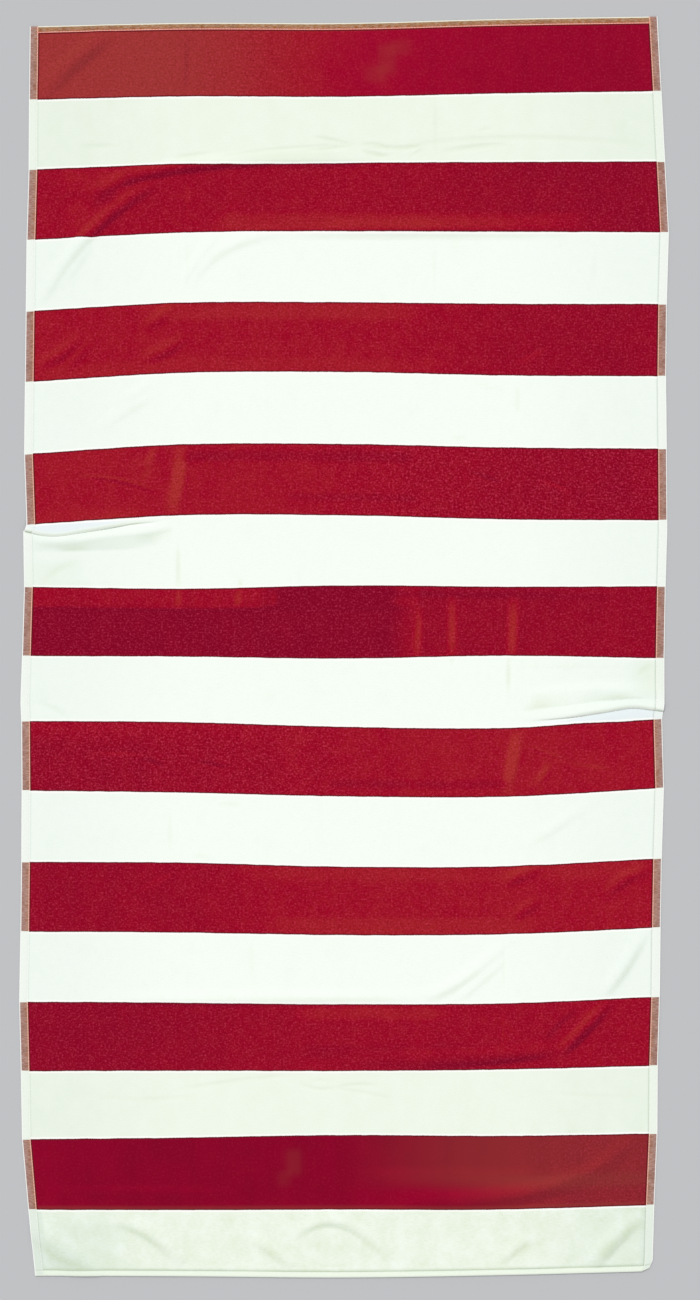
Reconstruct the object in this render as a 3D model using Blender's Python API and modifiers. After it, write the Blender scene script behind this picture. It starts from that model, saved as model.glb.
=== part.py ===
"""A striped terry beach towel lying on a floor, in the soft folds it was laid down with.

One sheet of cloth is one solid. Metres, +Z up, +Y towards the head of the towel, +X to its right.
The origin is on the floor, under the middle of the towel. Table rows run from the head to the foot.
"""

from collections import namedtuple

import bpy
import numpy as np

# Driving sizes.
LENGTH = 1.524  # head to foot, as laid
STRIPES = 18
STRIPE = LENGTH / STRIPES
CLOTH = 0.003  # the ground weave with the pile on both its faces
CELL = 0.0050  # the grid's spacing away from hems and pleats
KEPT = 0.055  # the share of its faces kept once they are merged where the cloth lies flat
TOUCHES = 0.00008  # points lower than this lie on the floor

# A hem has no pile, so it is thinner than the cloth: the share of CLOTH left, inwards from an edge.
Hem = namedtuple("Hem", "inwards share")
HEM = (
    Hem(0.0, 0.45),
    Hem(0.0015, 0.75),
    Hem(0.0095, 0.72),
    Hem(0.0115, 1.0),
)

# The laid outline and the lines between stripes. "line" counts stripes from the head, "left" and
# "right" are the side edges' places across, and the dips say how far a line lies nearer the foot
# than even spacing puts it, at the five places across that ACROSS names.
Line = namedtuple("Line", "line left right dip_left dip_crease_l dip_middle dip_crease_r dip_right")
LINES = (
    Line(0.0, -0.3820, 0.3825, 0.0052, 0.0009, 0.0010, -0.0040, -0.0070),
    Line(1.0, -0.3830, 0.3875, 0.0095, 0.0054, 0.0058, 0.0016, -0.0010),
    Line(2.0, -0.3835, 0.3920, 0.0107, 0.0044, 0.0026, 0.0016, 0.0010),
    Line(3.0, -0.3860, 0.3965, 0.0110, 0.0018, 0.0001, 0.0006, 0.0016),
    Line(4.0, -0.3870, 0.3940, 0.0140, 0.0036, 0.0031, 0.0050, 0.0052),
    Line(5.0, -0.3880, 0.3930, 0.0146, 0.0031, 0.0021, 0.0063, 0.0072),
    Line(6.0, -0.3890, 0.3940, 0.0187, 0.0068, 0.0063, 0.0106, 0.0120),
    Line(7.0, -0.3860, 0.3945, 0.0186, 0.0070, 0.0073, 0.0122, 0.0132),
    Line(7.15, -0.3900, 0.3945, 0.0176, 0.0080, 0.0077, 0.0121, 0.0128),
    Line(8.0, -0.3890, 0.3925, 0.0105, 0.0132, 0.0091, 0.0106, 0.0100),
    Line(9.0, -0.3915, 0.3910, 0.0092, 0.0098, 0.0122, 0.0087, 0.0122),
    Line(9.7, -0.3935, 0.3910, 0.0060, 0.0070, 0.0121, 0.0119, 0.0070),
    Line(10.0, -0.3925, 0.3882, 0.0047, 0.0060, 0.0118, 0.0133, 0.0028),
    Line(11.0, -0.3920, 0.3905, 0.0036, 0.0060, 0.0106, 0.0110, 0.0005),
    Line(12.0, -0.3925, 0.3878, 0.0069, 0.0078, 0.0128, 0.0122, 0.0025),
    Line(13.0, -0.3935, 0.3864, 0.0060, 0.0070, 0.0101, 0.0091, 0.0010),
    Line(14.0, -0.3950, 0.3855, 0.0080, 0.0086, 0.0106, 0.0099, 0.0015),
    Line(15.0, -0.3930, 0.3830, 0.0065, 0.0060, 0.0063, 0.0045, -0.0002),
    Line(16.0, -0.3915, 0.3825, 0.0059, 0.0039, 0.0007, 0.0017, -0.0011),
    Line(17.0, -0.3840, 0.3788, 0.0058, 0.0062, 0.0056, 0.0055, 0.0002),
    Line(18.0, -0.3754, 0.3764, 0.0026, 0.0033, 0.0048, 0.0019, -0.0029),
)
ACROSS = (0.0, 0.245, 0.5, 0.755, 1.0)  # the shares of the width at which the dips are given
ROUND_CORNER = 0.014  # at the foot's right corner

# Soft folds: ridges of the cloth along a curve from one point to another that bends towards a
# third, each with its height. It rises over "reach" and falls over "fall", which is on the right
# of someone who walks along it.
Fold = namedtuple("Fold", "from_x from_y bend_x bend_y to_x to_y height reach fall")
FOLDS = (
    # The head's left corner.
    Fold(-0.372, 0.668, -0.328, 0.715, -0.280, 0.752, 0.0030, 0.018, 0.014),
    # The long curved fold below the second stripe, and the ridge that splits off it.
    Fold(-0.300, 0.553, -0.255, 0.596, 0.035, 0.597, 0.0024, 0.014, 0.008),
    Fold(-0.369, 0.420, -0.314, 0.522, -0.226, 0.566, 0.0032, 0.012, 0.009),
    Fold(-0.347, 0.435, -0.320, 0.474, -0.303, 0.499, 0.0009, 0.010, 0.007),
    # The fold that bends out of the fourth stripe and follows its edge.
    Fold(-0.199, 0.438, -0.180, 0.470, -0.155, 0.500, 0.0012, 0.009, 0.007),
    Fold(-0.189, 0.442, -0.157, 0.496, -0.052, 0.506, 0.0020, 0.012, 0.010),
    Fold(-0.089, 0.506, 0.094, 0.509, 0.289, 0.507, 0.0019, 0.016, 0.009),
    # Short folds of the fifth and sixth stripes.
    Fold(-0.376, 0.343, -0.345, 0.351, -0.320, 0.380, 0.0016, 0.011, 0.009),
    Fold(-0.342, 0.334, -0.323, 0.355, -0.303, 0.375, 0.0007, 0.009, 0.007),
    Fold(-0.248, 0.351, -0.215, 0.359, -0.191, 0.379, 0.0018, 0.012, 0.009),
    Fold(-0.243, 0.389, -0.222, 0.403, -0.199, 0.420, 0.0013, 0.011, 0.009),
    Fold(-0.301, 0.262, -0.267, 0.293, -0.223, 0.312, 0.0015, 0.011, 0.009),
    Fold(-0.276, 0.295, -0.252, 0.311, -0.228, 0.325, 0.0009, 0.009, 0.007),
    # The end of the left pleat: a ridge up to the next stripe, and one below the lap.
    Fold(-0.214, 0.158, -0.196, 0.206, -0.196, 0.245, 0.0013, 0.011, 0.013),
    Fold(-0.241, 0.216, -0.235, 0.231, -0.225, 0.242, 0.0012, 0.007, 0.007),
    Fold(-0.389, 0.131, -0.308, 0.122, -0.208, 0.150, 0.0032, 0.011, 0.010),
    # The right pleat: a ridge above the lap, and one down into the next stripe.
    Fold(0.213, -0.069, 0.301, -0.050, 0.391, -0.060, 0.0034, 0.018, 0.009),
    Fold(0.197, -0.177, 0.208, -0.137, 0.213, -0.100, 0.0013, 0.011, 0.013),
    Fold(0.230, -0.174, 0.240, -0.159, 0.251, -0.144, 0.0012, 0.007, 0.007),
    # Short folds of the twelfth and thirteenth stripes.
    Fold(0.216, -0.242, 0.259, -0.217, 0.306, -0.185, 0.0015, 0.011, 0.009),
    Fold(0.197, -0.288, 0.211, -0.273, 0.247, -0.269, 0.0018, 0.011, 0.009),
    Fold(0.201, -0.331, 0.225, -0.317, 0.238, -0.305, 0.0014, 0.011, 0.009),
    Fold(0.316, -0.304, 0.336, -0.279, 0.376, -0.267, 0.0016, 0.011, 0.009),
    # The curved fold of the fourteenth and fifteenth stripes, with the ridge beside it.
    Fold(0.094, -0.426, 0.145, -0.412, 0.196, -0.360, 0.0020, 0.011, 0.010),
    Fold(0.138, -0.428, 0.162, -0.410, 0.196, -0.378, 0.0012, 0.009, 0.007),
    Fold(-0.016, -0.502, 0.216, -0.502, 0.259, -0.488, 0.0019, 0.015, 0.009),
    Fold(0.262, -0.494, 0.296, -0.465, 0.324, -0.428, 0.0028, 0.011, 0.009),
    Fold(0.315, -0.424, 0.347, -0.385, 0.367, -0.340, 0.0030, 0.011, 0.009),
    Fold(-0.308, -0.428, -0.101, -0.428, 0.106, -0.426, 0.0016, 0.012, 0.007),
    # The long curved fold of the seventeenth stripe.
    Fold(0.069, -0.673, 0.313, -0.679, 0.350, -0.595, 0.0022, 0.017, 0.010),
    # The foot: both corners, and between them short folds and an arch.
    Fold(-0.376, -0.694, -0.345, -0.735, -0.294, -0.762, 0.0042, 0.010, 0.026),
    Fold(-0.283, -0.694, -0.228, -0.706, -0.196, -0.751, 0.0034, 0.015, 0.010),
    Fold(-0.111, -0.719, -0.093, -0.727, -0.062, -0.753, 0.0024, 0.011, 0.008),
    Fold(-0.060, -0.718, -0.009, -0.664, 0.058, -0.747, 0.0026, 0.012, 0.008),
    Fold(0.191, -0.748, 0.208, -0.727, 0.230, -0.714, 0.0016, 0.010, 0.009),
    Fold(0.303, -0.751, 0.320, -0.727, 0.362, -0.688, 0.0040, 0.015, 0.012),
)
FOLD_STEPS = 24
FADE = 0.7  # how soon a fold rises from its ends: 0 at once, 1 only towards its middle
BLEND = 3.0  # how sharply the higher of two crossing folds wins

# A pinched pleat: the cloth laps over itself towards the foot. Its crest runs inwards from a side
# edge at some distance past a line between stripes, and is full where the pleat is at its tallest.
Run = namedtuple("Run", "inwards past_line fullness")
LEFT_RUN = (
    Run(0.0, 0.0072, 0.75),
    Run(0.042, 0.0116, 1.0),
    Run(0.068, 0.0085, 0.97),
    Run(0.091, 0.0070, 0.88),
    Run(0.130, 0.0045, 0.48),
    Run(0.167, 0.0040, 0.14),
    Run(0.200, 0.0040, 0.0),
)
RIGHT_RUN = (
    Run(0.0, -0.0180, 0.75),
    Run(0.040, -0.0235, 1.0),
    Run(0.066, -0.0212, 0.97),
    Run(0.091, -0.0195, 0.88),
    Run(0.130, -0.0170, 0.48),
    Run(0.167, -0.0140, 0.14),
    Run(0.200, -0.0130, 0.0),
)
Pleat = namedtuple("Pleat", "side line run")
PLEATS = (Pleat("left", 7, LEFT_RUN), Pleat("right", 10, RIGHT_RUN))
# Across a pleat, by distance along the cloth from its crest: how far towards the foot and up the
# cloth is carried, and the share of its thickness that the pinch leaves.
Section = namedtuple("Section", "along ahead lift share")
SECTION = (
    Section(-0.022, 0.0, 0.0, 1.0),
    Section(-0.014, 0.0003, 0.0004, 1.0),
    Section(-0.009, 0.0009, 0.0014, 1.0),
    Section(-0.005, 0.0015, 0.0025, 1.0),
    Section(-0.002, 0.0017, 0.0032, 1.0),
    Section(0.0, 0.0015, 0.0033, 1.0),
    Section(0.002, 0.0006, 0.0026, 1.0),
    Section(0.004, -0.0015, 0.0013, 0.45),
    Section(0.006, -0.0027, 0.0003, 0.45),
    Section(0.008, -0.0026, 0.0, 0.65),
    Section(0.012, -0.0022, 0.0, 1.0),
    Section(0.020, -0.0010, 0.0, 1.0),
    Section(0.030, 0.0, 0.0, 1.0),
)
ROWS_CLEAR = 0.01  # stripes between the rows that follow a pleat and the even ones

RED_PILE = (0.33, 0.012, 0.028, 1.0)
WHITE_PILE = (0.86, 0.92, 0.86, 1.0)
ROUGHNESS = 0.95


def column(table, name):
    """One named column of a table."""
    return np.array([getattr(row, name) for row in table])


def through(at, stops, values):
    """Smooth curves through values at the stops: one curve for all, or one a row."""
    stops = np.asarray(stops, float)
    values = np.broadcast_to(values, (len(at), len(stops)))
    slopes = np.gradient(values, stops, axis=1)
    left = np.clip(np.searchsorted(stops, at, side="right") - 1, 0, len(stops) - 2)
    row = np.arange(len(at))
    gap = stops[left + 1] - stops[left]
    t = (at - stops[left]) / gap
    start = values[row, left] * (1 + 2 * t) * (1 - t) ** 2
    end = values[row, left + 1] * (3 - 2 * t) * t**2
    lean = slopes[row, left] * (1 - t) ** 2 * t - slopes[row, left + 1] * (1 - t) * t**2
    return start + end + lean * gap


def laid(across, line):
    """Where a point of the cloth lies on the floor: across is 0 to 1, line counts stripes."""
    left, right, *dips = (
        np.interp(line, column(LINES, "line"), column(LINES, name)) for name in Line._fields[1:]
    )
    dip = through(across, ACROSS, np.array(dips).T)
    return left + across * (right - left), LENGTH / 2 - line * STRIPE - dip


def fold_curve(fold):
    """Points along a fold's crest."""
    t = np.linspace(0.0, 1.0, FOLD_STEPS)[:, None]
    start = np.array((fold.from_x, fold.from_y)) * (1 - t) ** 2
    bend = np.array((fold.bend_x, fold.bend_y)) * 2 * t * (1 - t)
    return start + bend + np.array((fold.to_x, fold.to_y)) * t**2


def fold_lift(x, y, fold):
    """How far a fold lifts the cloth at each point."""
    curve = fold_curve(fold)
    nearest = np.full(len(x), np.inf)
    along = np.zeros(len(x))
    reach = np.full(len(x), fold.reach)
    for step, (a, b) in enumerate(zip(curve, curve[1:])):
        run = b - a
        over, up = x - a[0], y - a[1]
        t = np.clip((over * run[0] + up * run[1]) / (run @ run), 0, 1)
        gap = np.hypot(over - t * run[0], up - t * run[1])
        closer = gap < nearest
        nearest[closer] = gap[closer]
        along[closer] = (step + t[closer]) / (FOLD_STEPS - 1)
        on_left = run[0] * up - run[1] * over > 0
        reach[closer] = np.where(on_left, fold.reach, fold.fall)[closer]
    fade = np.sin(np.pi * along) ** FADE
    return fold.height * fade * (1 - np.minimum(nearest / reach, 1) ** 2) ** 2


def folds_lift(x, y):
    """All soft folds together: the higher wins where two cross."""
    total = sum(fold_lift(x, y, fold) ** BLEND for fold in FOLDS)
    return total ** (1 / BLEND)


def along_run(pleat, across, width, name):
    """A column of a pleat's run at each place across."""
    inwards = (across if pleat.side == "left" else 1 - across) * width
    return np.interp(inwards, column(pleat.run, "inwards"), column(pleat.run, name))


def lap(pleat, across, line, width):
    """A pleat's effect on each point: towards the foot, up, and on the share of its thickness."""
    full = along_run(pleat, across, width, "fullness")
    along = (line - pleat.line) * STRIPE - along_run(pleat, across, width, "past_line")
    ahead, lift, share = (
        np.interp(along, column(SECTION, "along"), column(SECTION, name))
        for name in ("ahead", "lift", "share")
    )
    return ahead * full, lift * full, 1 - full * (1 - share)


def grid_columns(width):
    """Places across, from 0 to 1: the hem's lines at both sides and even steps between."""
    hem = column(HEM, "inwards") / width
    steps = round((1 - 2 * hem[-1]) * width / CELL)
    return np.concatenate([hem[:-1], np.linspace(hem[-1], 1 - hem[-1], steps + 1), 1 - hem[-2::-1]])


def grid_rows(across, width):
    """The line of each row at each place across; rows near a pleat follow its crest."""
    even = np.arange(0, STRIPES, 1 / round(STRIPE / CELL))[1:]
    rows = []
    for pleat in PLEATS:
        crest = pleat.line + along_run(pleat, across, width, "past_line") / STRIPE
        follow = [crest + along / STRIPE for along in column(SECTION, "along")]
        before, after = follow[0].min() - ROWS_CLEAR, follow[-1].max() + ROWS_CLEAR
        even = even[(even < before) | (even > after)]
        rows += follow
    hem = column(HEM, "inwards") / STRIPE
    rows += [np.full_like(across, line) for line in (*hem, *even, *(STRIPES - hem))]
    return np.array(sorted(rows, key=np.mean))


def hem_share(across, line, width):
    """The share of the full thickness that the hems leave."""
    side = np.minimum(across, 1 - across) * width
    end = np.minimum(line, STRIPES - line) * STRIPE
    return np.interp(np.minimum(side, end), column(HEM, "inwards"), column(HEM, "share"))


def round_corner(x, y, across, line, width):
    """Draws in the foot's right corner."""
    side = np.clip(1 - (1 - across) * width / ROUND_CORNER, 0, 1)
    end = np.clip(1 - (STRIPES - line) * STRIPE / ROUND_CORNER, 0, 1)
    pull = ROUND_CORNER * (1 - np.sqrt(0.5)) * side * end
    return x - pull, y + pull


def cloth_grid(name):
    """The underside of the cloth as an open grid, with its thickness shares in a vertex group."""
    width = np.mean(column(LINES, "right") - column(LINES, "left"))
    columns = grid_columns(width)
    rows = grid_rows(columns, width)
    bpy.ops.mesh.primitive_grid_add(x_subdivisions=len(columns) - 1, y_subdivisions=len(rows) - 1, size=2)
    towel = bpy.context.object
    towel.name = towel.data.name = name
    place = np.empty(len(towel.data.vertices) * 3, np.float32)
    towel.data.vertices.foreach_get("co", place)
    place = place.reshape(-1, 3)
    col = np.rint((place[:, 0] + 1) / 2 * (len(columns) - 1)).astype(int)
    row = np.rint((1 - place[:, 1]) / 2 * (len(rows) - 1)).astype(int)
    across, line = columns[col], rows[row, col]

    x, y = laid(across, line)
    x, y = round_corner(x, y, across, line, width)
    lift = folds_lift(x, y)
    share = hem_share(across, line, width)
    for pleat in PLEATS:
        footwards, up, thin = lap(pleat, across, line, width)
        y = y - footwards
        lift = np.maximum(lift, up)
        share = share * thin
    x -= (x.min() + x.max()) / 2
    y -= (y.min() + y.max()) / 2
    towel.data.vertices.foreach_set("co", np.stack([x, y, lift], 1).astype(np.float32).ravel())
    group = towel.vertex_groups.new(name="thickness")
    for index, value in enumerate(share):
        group.add([index], float(value), "REPLACE")
    for face in towel.data.polygons:
        face.material_index = int(line[list(face.vertices)].mean()) % 2
    return towel


def pile(name, color):
    """The pile's colour and dullness."""
    material = bpy.data.materials.new(name)
    material.use_nodes = True
    shader = material.node_tree.nodes["Principled BSDF"]
    shader.inputs["Base Color"].default_value = color
    shader.inputs["Roughness"].default_value = ROUGHNESS
    shader.inputs["Metallic"].default_value = 0.0
    return material


def lay_flat(cloth):
    """Works out the cloth's modifiers and sets its lowest points down on the floor."""
    worked_out = cloth.evaluated_get(bpy.context.evaluated_depsgraph_get())
    mesh = bpy.data.meshes.new_from_object(worked_out)
    for vertex in mesh.vertices:
        if vertex.co.z < TOUCHES:
            vertex.co.z = 0.0
    cloth.modifiers.clear()
    cloth.data = mesh


def main():
    for old in list(bpy.data.objects):
        bpy.data.objects.remove(old)
    collection = bpy.data.collections.new("beach_towel")
    bpy.context.scene.collection.children.link(collection)
    towel = cloth_grid("towel")
    for owner in list(towel.users_collection):
        owner.objects.unlink(towel)
    collection.objects.link(towel)
    towel.data.materials.append(pile("red_pile", RED_PILE))
    towel.data.materials.append(pile("white_pile", WHITE_PILE))
    towel.data.shade_smooth()
    thicken = towel.modifiers.new("thickness", "SOLIDIFY")
    thicken.thickness = CLOTH
    thicken.offset = 1.0
    thicken.vertex_group = "thickness"
    lighten = towel.modifiers.new("lighten", "DECIMATE")
    lighten.ratio = KEPT
    lay_flat(towel)


main()
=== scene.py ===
"""The looks of a striped terry beach towel that lies on a floor, seen from straight above.

Metres, +Z up, +Y towards the head of the towel, +X to its right. The towel's own coordinates are
"across", from 0 at its left edge to 1 at its right one, and "line", which counts stripes from the
head. Table rows run from the head to the foot.
"""

import math
from collections import namedtuple

import bpy
import numpy as np
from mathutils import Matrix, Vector


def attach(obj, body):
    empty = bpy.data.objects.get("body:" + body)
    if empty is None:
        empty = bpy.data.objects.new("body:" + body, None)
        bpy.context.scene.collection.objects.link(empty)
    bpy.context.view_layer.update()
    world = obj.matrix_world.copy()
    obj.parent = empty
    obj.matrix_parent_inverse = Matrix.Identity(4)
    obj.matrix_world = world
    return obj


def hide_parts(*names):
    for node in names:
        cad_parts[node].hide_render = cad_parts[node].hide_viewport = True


def rows_of(kind, rows):
    """Rows of values as named tuples of one kind."""
    return tuple(kind(*row) for row in rows)


# ---------------------------------------------------------------- the cloth
LENGTH = 1.524
WIDTH = 0.775  # as cut, hems turned
STRIPES = 18
STRIPE = LENGTH / STRIPES
CLOTH = 0.003  # the ground weave with the pile on both its faces
MIDDLE_X = 0.00077  # where the middle of the outline's box lies in the tables' coordinates
MIDDLE_Y = 0.00109

# The laid outline and the lines between stripes. "left" and "right" are the side edges' places
# across, and the dips say how far a line lies nearer the foot than even spacing puts it, at the five
# places across that ACROSS names.
Line = namedtuple("Line", "line left right dip_left dip_crease_l dip_middle dip_crease_r dip_right")
LINES = rows_of(Line, (
    (0.0, -0.3820, 0.3825, 0.0052, 0.0009, 0.0010, -0.0040, -0.0070),
    (1.0, -0.3830, 0.3875, 0.0095, 0.0054, 0.0058, 0.0016, -0.0010),
    (2.0, -0.3835, 0.3920, 0.0107, 0.0044, 0.0026, 0.0016, 0.0010),
    (3.0, -0.3860, 0.3965, 0.0110, 0.0018, 0.0001, 0.0006, 0.0016),
    (4.0, -0.3870, 0.3940, 0.0140, 0.0036, 0.0031, 0.0050, 0.0052),
    (5.0, -0.3880, 0.3930, 0.0146, 0.0031, 0.0021, 0.0063, 0.0072),
    (6.0, -0.3890, 0.3940, 0.0187, 0.0068, 0.0063, 0.0106, 0.0120),
    (7.0, -0.3860, 0.3945, 0.0186, 0.0070, 0.0073, 0.0122, 0.0132),
    (7.15, -0.3900, 0.3945, 0.0176, 0.0080, 0.0077, 0.0121, 0.0128),
    (8.0, -0.3890, 0.3925, 0.0105, 0.0132, 0.0091, 0.0106, 0.0100),
    (9.0, -0.3915, 0.3910, 0.0092, 0.0098, 0.0122, 0.0087, 0.0122),
    (9.7, -0.3935, 0.3910, 0.0060, 0.0070, 0.0121, 0.0119, 0.0070),
    (10.0, -0.3925, 0.3882, 0.0047, 0.0060, 0.0118, 0.0133, 0.0028),
    (11.0, -0.3920, 0.3905, 0.0036, 0.0060, 0.0106, 0.0110, 0.0005),
    (12.0, -0.3925, 0.3878, 0.0069, 0.0078, 0.0128, 0.0122, 0.0025),
    (13.0, -0.3935, 0.3864, 0.0060, 0.0070, 0.0101, 0.0091, 0.0010),
    (14.0, -0.3950, 0.3855, 0.0080, 0.0086, 0.0106, 0.0099, 0.0015),
    (15.0, -0.3930, 0.3830, 0.0065, 0.0060, 0.0063, 0.0045, -0.0002),
    (16.0, -0.3915, 0.3825, 0.0059, 0.0039, 0.0007, 0.0017, -0.0011),
    (17.0, -0.3840, 0.3788, 0.0058, 0.0062, 0.0056, 0.0055, 0.0002),
    (18.0, -0.3754, 0.3764, 0.0026, 0.0033, 0.0048, 0.0019, -0.0029),
))
ACROSS = (0.0, 0.245, 0.5, 0.755, 1.0)
ROUND_CORNER = 0.014  # at the foot's right corner

# Soft folds: ridges of the cloth along a curve from one point to another that bends towards a
# third, each with its height. It rises over "reach" and falls over "fall", which is on the right
# of someone who walks along it.
Fold = namedtuple("Fold", "from_x from_y bend_x bend_y to_x to_y height reach fall")
FOLDS = rows_of(Fold, (
    # The head's left corner.
    (-0.372, 0.668, -0.328, 0.715, -0.280, 0.752, 0.0030, 0.018, 0.014),
    # The long curved fold below the second stripe, and the ridge that splits off it.
    (-0.300, 0.553, -0.255, 0.596, 0.035, 0.597, 0.0024, 0.014, 0.008),
    (-0.369, 0.420, -0.314, 0.522, -0.226, 0.566, 0.0027, 0.012, 0.009),
    (-0.347, 0.435, -0.320, 0.474, -0.303, 0.499, 0.0009, 0.010, 0.007),
    # The fold that bends out of the fourth stripe and follows its edge.
    (-0.193, 0.444, -0.181, 0.475, -0.150, 0.505, 0.0014, 0.009, 0.007),
    (-0.187, 0.438, -0.165, 0.500, -0.060, 0.508, 0.0013, 0.012, 0.009),
    (-0.089, 0.506, 0.094, 0.509, 0.289, 0.507, 0.0019, 0.016, 0.009),
    # Short folds of the fifth and sixth stripes.
    (-0.376, 0.343, -0.345, 0.351, -0.320, 0.380, 0.0016, 0.011, 0.009),
    (-0.342, 0.334, -0.323, 0.355, -0.303, 0.375, 0.0007, 0.009, 0.007),
    (-0.248, 0.351, -0.215, 0.359, -0.191, 0.379, 0.0018, 0.012, 0.009),
    (-0.243, 0.389, -0.222, 0.403, -0.199, 0.420, 0.0013, 0.011, 0.009),
    (-0.301, 0.262, -0.267, 0.293, -0.223, 0.312, 0.0008, 0.011, 0.009),
    (-0.276, 0.295, -0.252, 0.311, -0.228, 0.325, 0.0009, 0.009, 0.007),
    # The end of the left pleat: a ridge up to the next stripe, and one below the lap.
    (-0.214, 0.158, -0.196, 0.206, -0.196, 0.245, 0.0013, 0.011, 0.013),
    (-0.241, 0.216, -0.235, 0.231, -0.225, 0.242, 0.0012, 0.007, 0.007),
    (-0.389, 0.131, -0.308, 0.122, -0.208, 0.150, 0.0032, 0.011, 0.010),
    # The right pleat: a ridge above the lap, and one down into the next stripe.
    (0.213, -0.069, 0.301, -0.050, 0.391, -0.060, 0.0034, 0.018, 0.009),
    (0.197, -0.177, 0.208, -0.137, 0.213, -0.100, 0.0013, 0.011, 0.013),
    (0.230, -0.174, 0.240, -0.159, 0.251, -0.144, 0.0012, 0.007, 0.007),
    # Short folds of the twelfth and thirteenth stripes.
    (0.216, -0.242, 0.259, -0.217, 0.306, -0.185, 0.0008, 0.011, 0.009),
    (0.197, -0.288, 0.211, -0.273, 0.247, -0.269, 0.0018, 0.011, 0.009),
    (0.201, -0.331, 0.225, -0.317, 0.238, -0.305, 0.0014, 0.011, 0.009),
    (0.316, -0.304, 0.336, -0.279, 0.376, -0.267, 0.0016, 0.011, 0.009),
    # The curved fold of the fourteenth and fifteenth stripes, with the ridge beside it.
    (0.094, -0.426, 0.145, -0.412, 0.196, -0.360, 0.0020, 0.011, 0.010),
    (0.138, -0.428, 0.162, -0.410, 0.196, -0.378, 0.0012, 0.009, 0.007),
    (-0.016, -0.502, 0.216, -0.502, 0.259, -0.488, 0.0019, 0.015, 0.009),
    (0.262, -0.494, 0.296, -0.465, 0.324, -0.428, 0.0028, 0.011, 0.009),
    (0.315, -0.424, 0.347, -0.385, 0.367, -0.340, 0.0030, 0.011, 0.009),
    (-0.308, -0.428, -0.101, -0.428, 0.106, -0.426, 0.0016, 0.012, 0.007),
    # The long curved fold of the seventeenth stripe.
    (0.069, -0.673, 0.313, -0.679, 0.350, -0.595, 0.0022, 0.017, 0.010),
    # The foot: both corners, and between them short folds and an arch.
    (-0.376, -0.694, -0.345, -0.735, -0.294, -0.762, 0.0042, 0.010, 0.026),
    (-0.283, -0.694, -0.228, -0.706, -0.196, -0.751, 0.0034, 0.015, 0.010),
    (-0.111, -0.719, -0.093, -0.727, -0.062, -0.753, 0.0024, 0.011, 0.008),
    (-0.060, -0.718, -0.009, -0.664, 0.058, -0.747, 0.0026, 0.012, 0.008),
    (0.191, -0.748, 0.208, -0.727, 0.230, -0.714, 0.0016, 0.010, 0.009),
    (0.303, -0.751, 0.320, -0.727, 0.362, -0.688, 0.0040, 0.015, 0.012),
))
CURVE_STEPS = 24
FADE = 0.7  # how soon a fold rises from its ends: 0 at once, 1 only towards its middle
BLEND = 3.0  # how sharply the higher of two crossing folds wins

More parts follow.
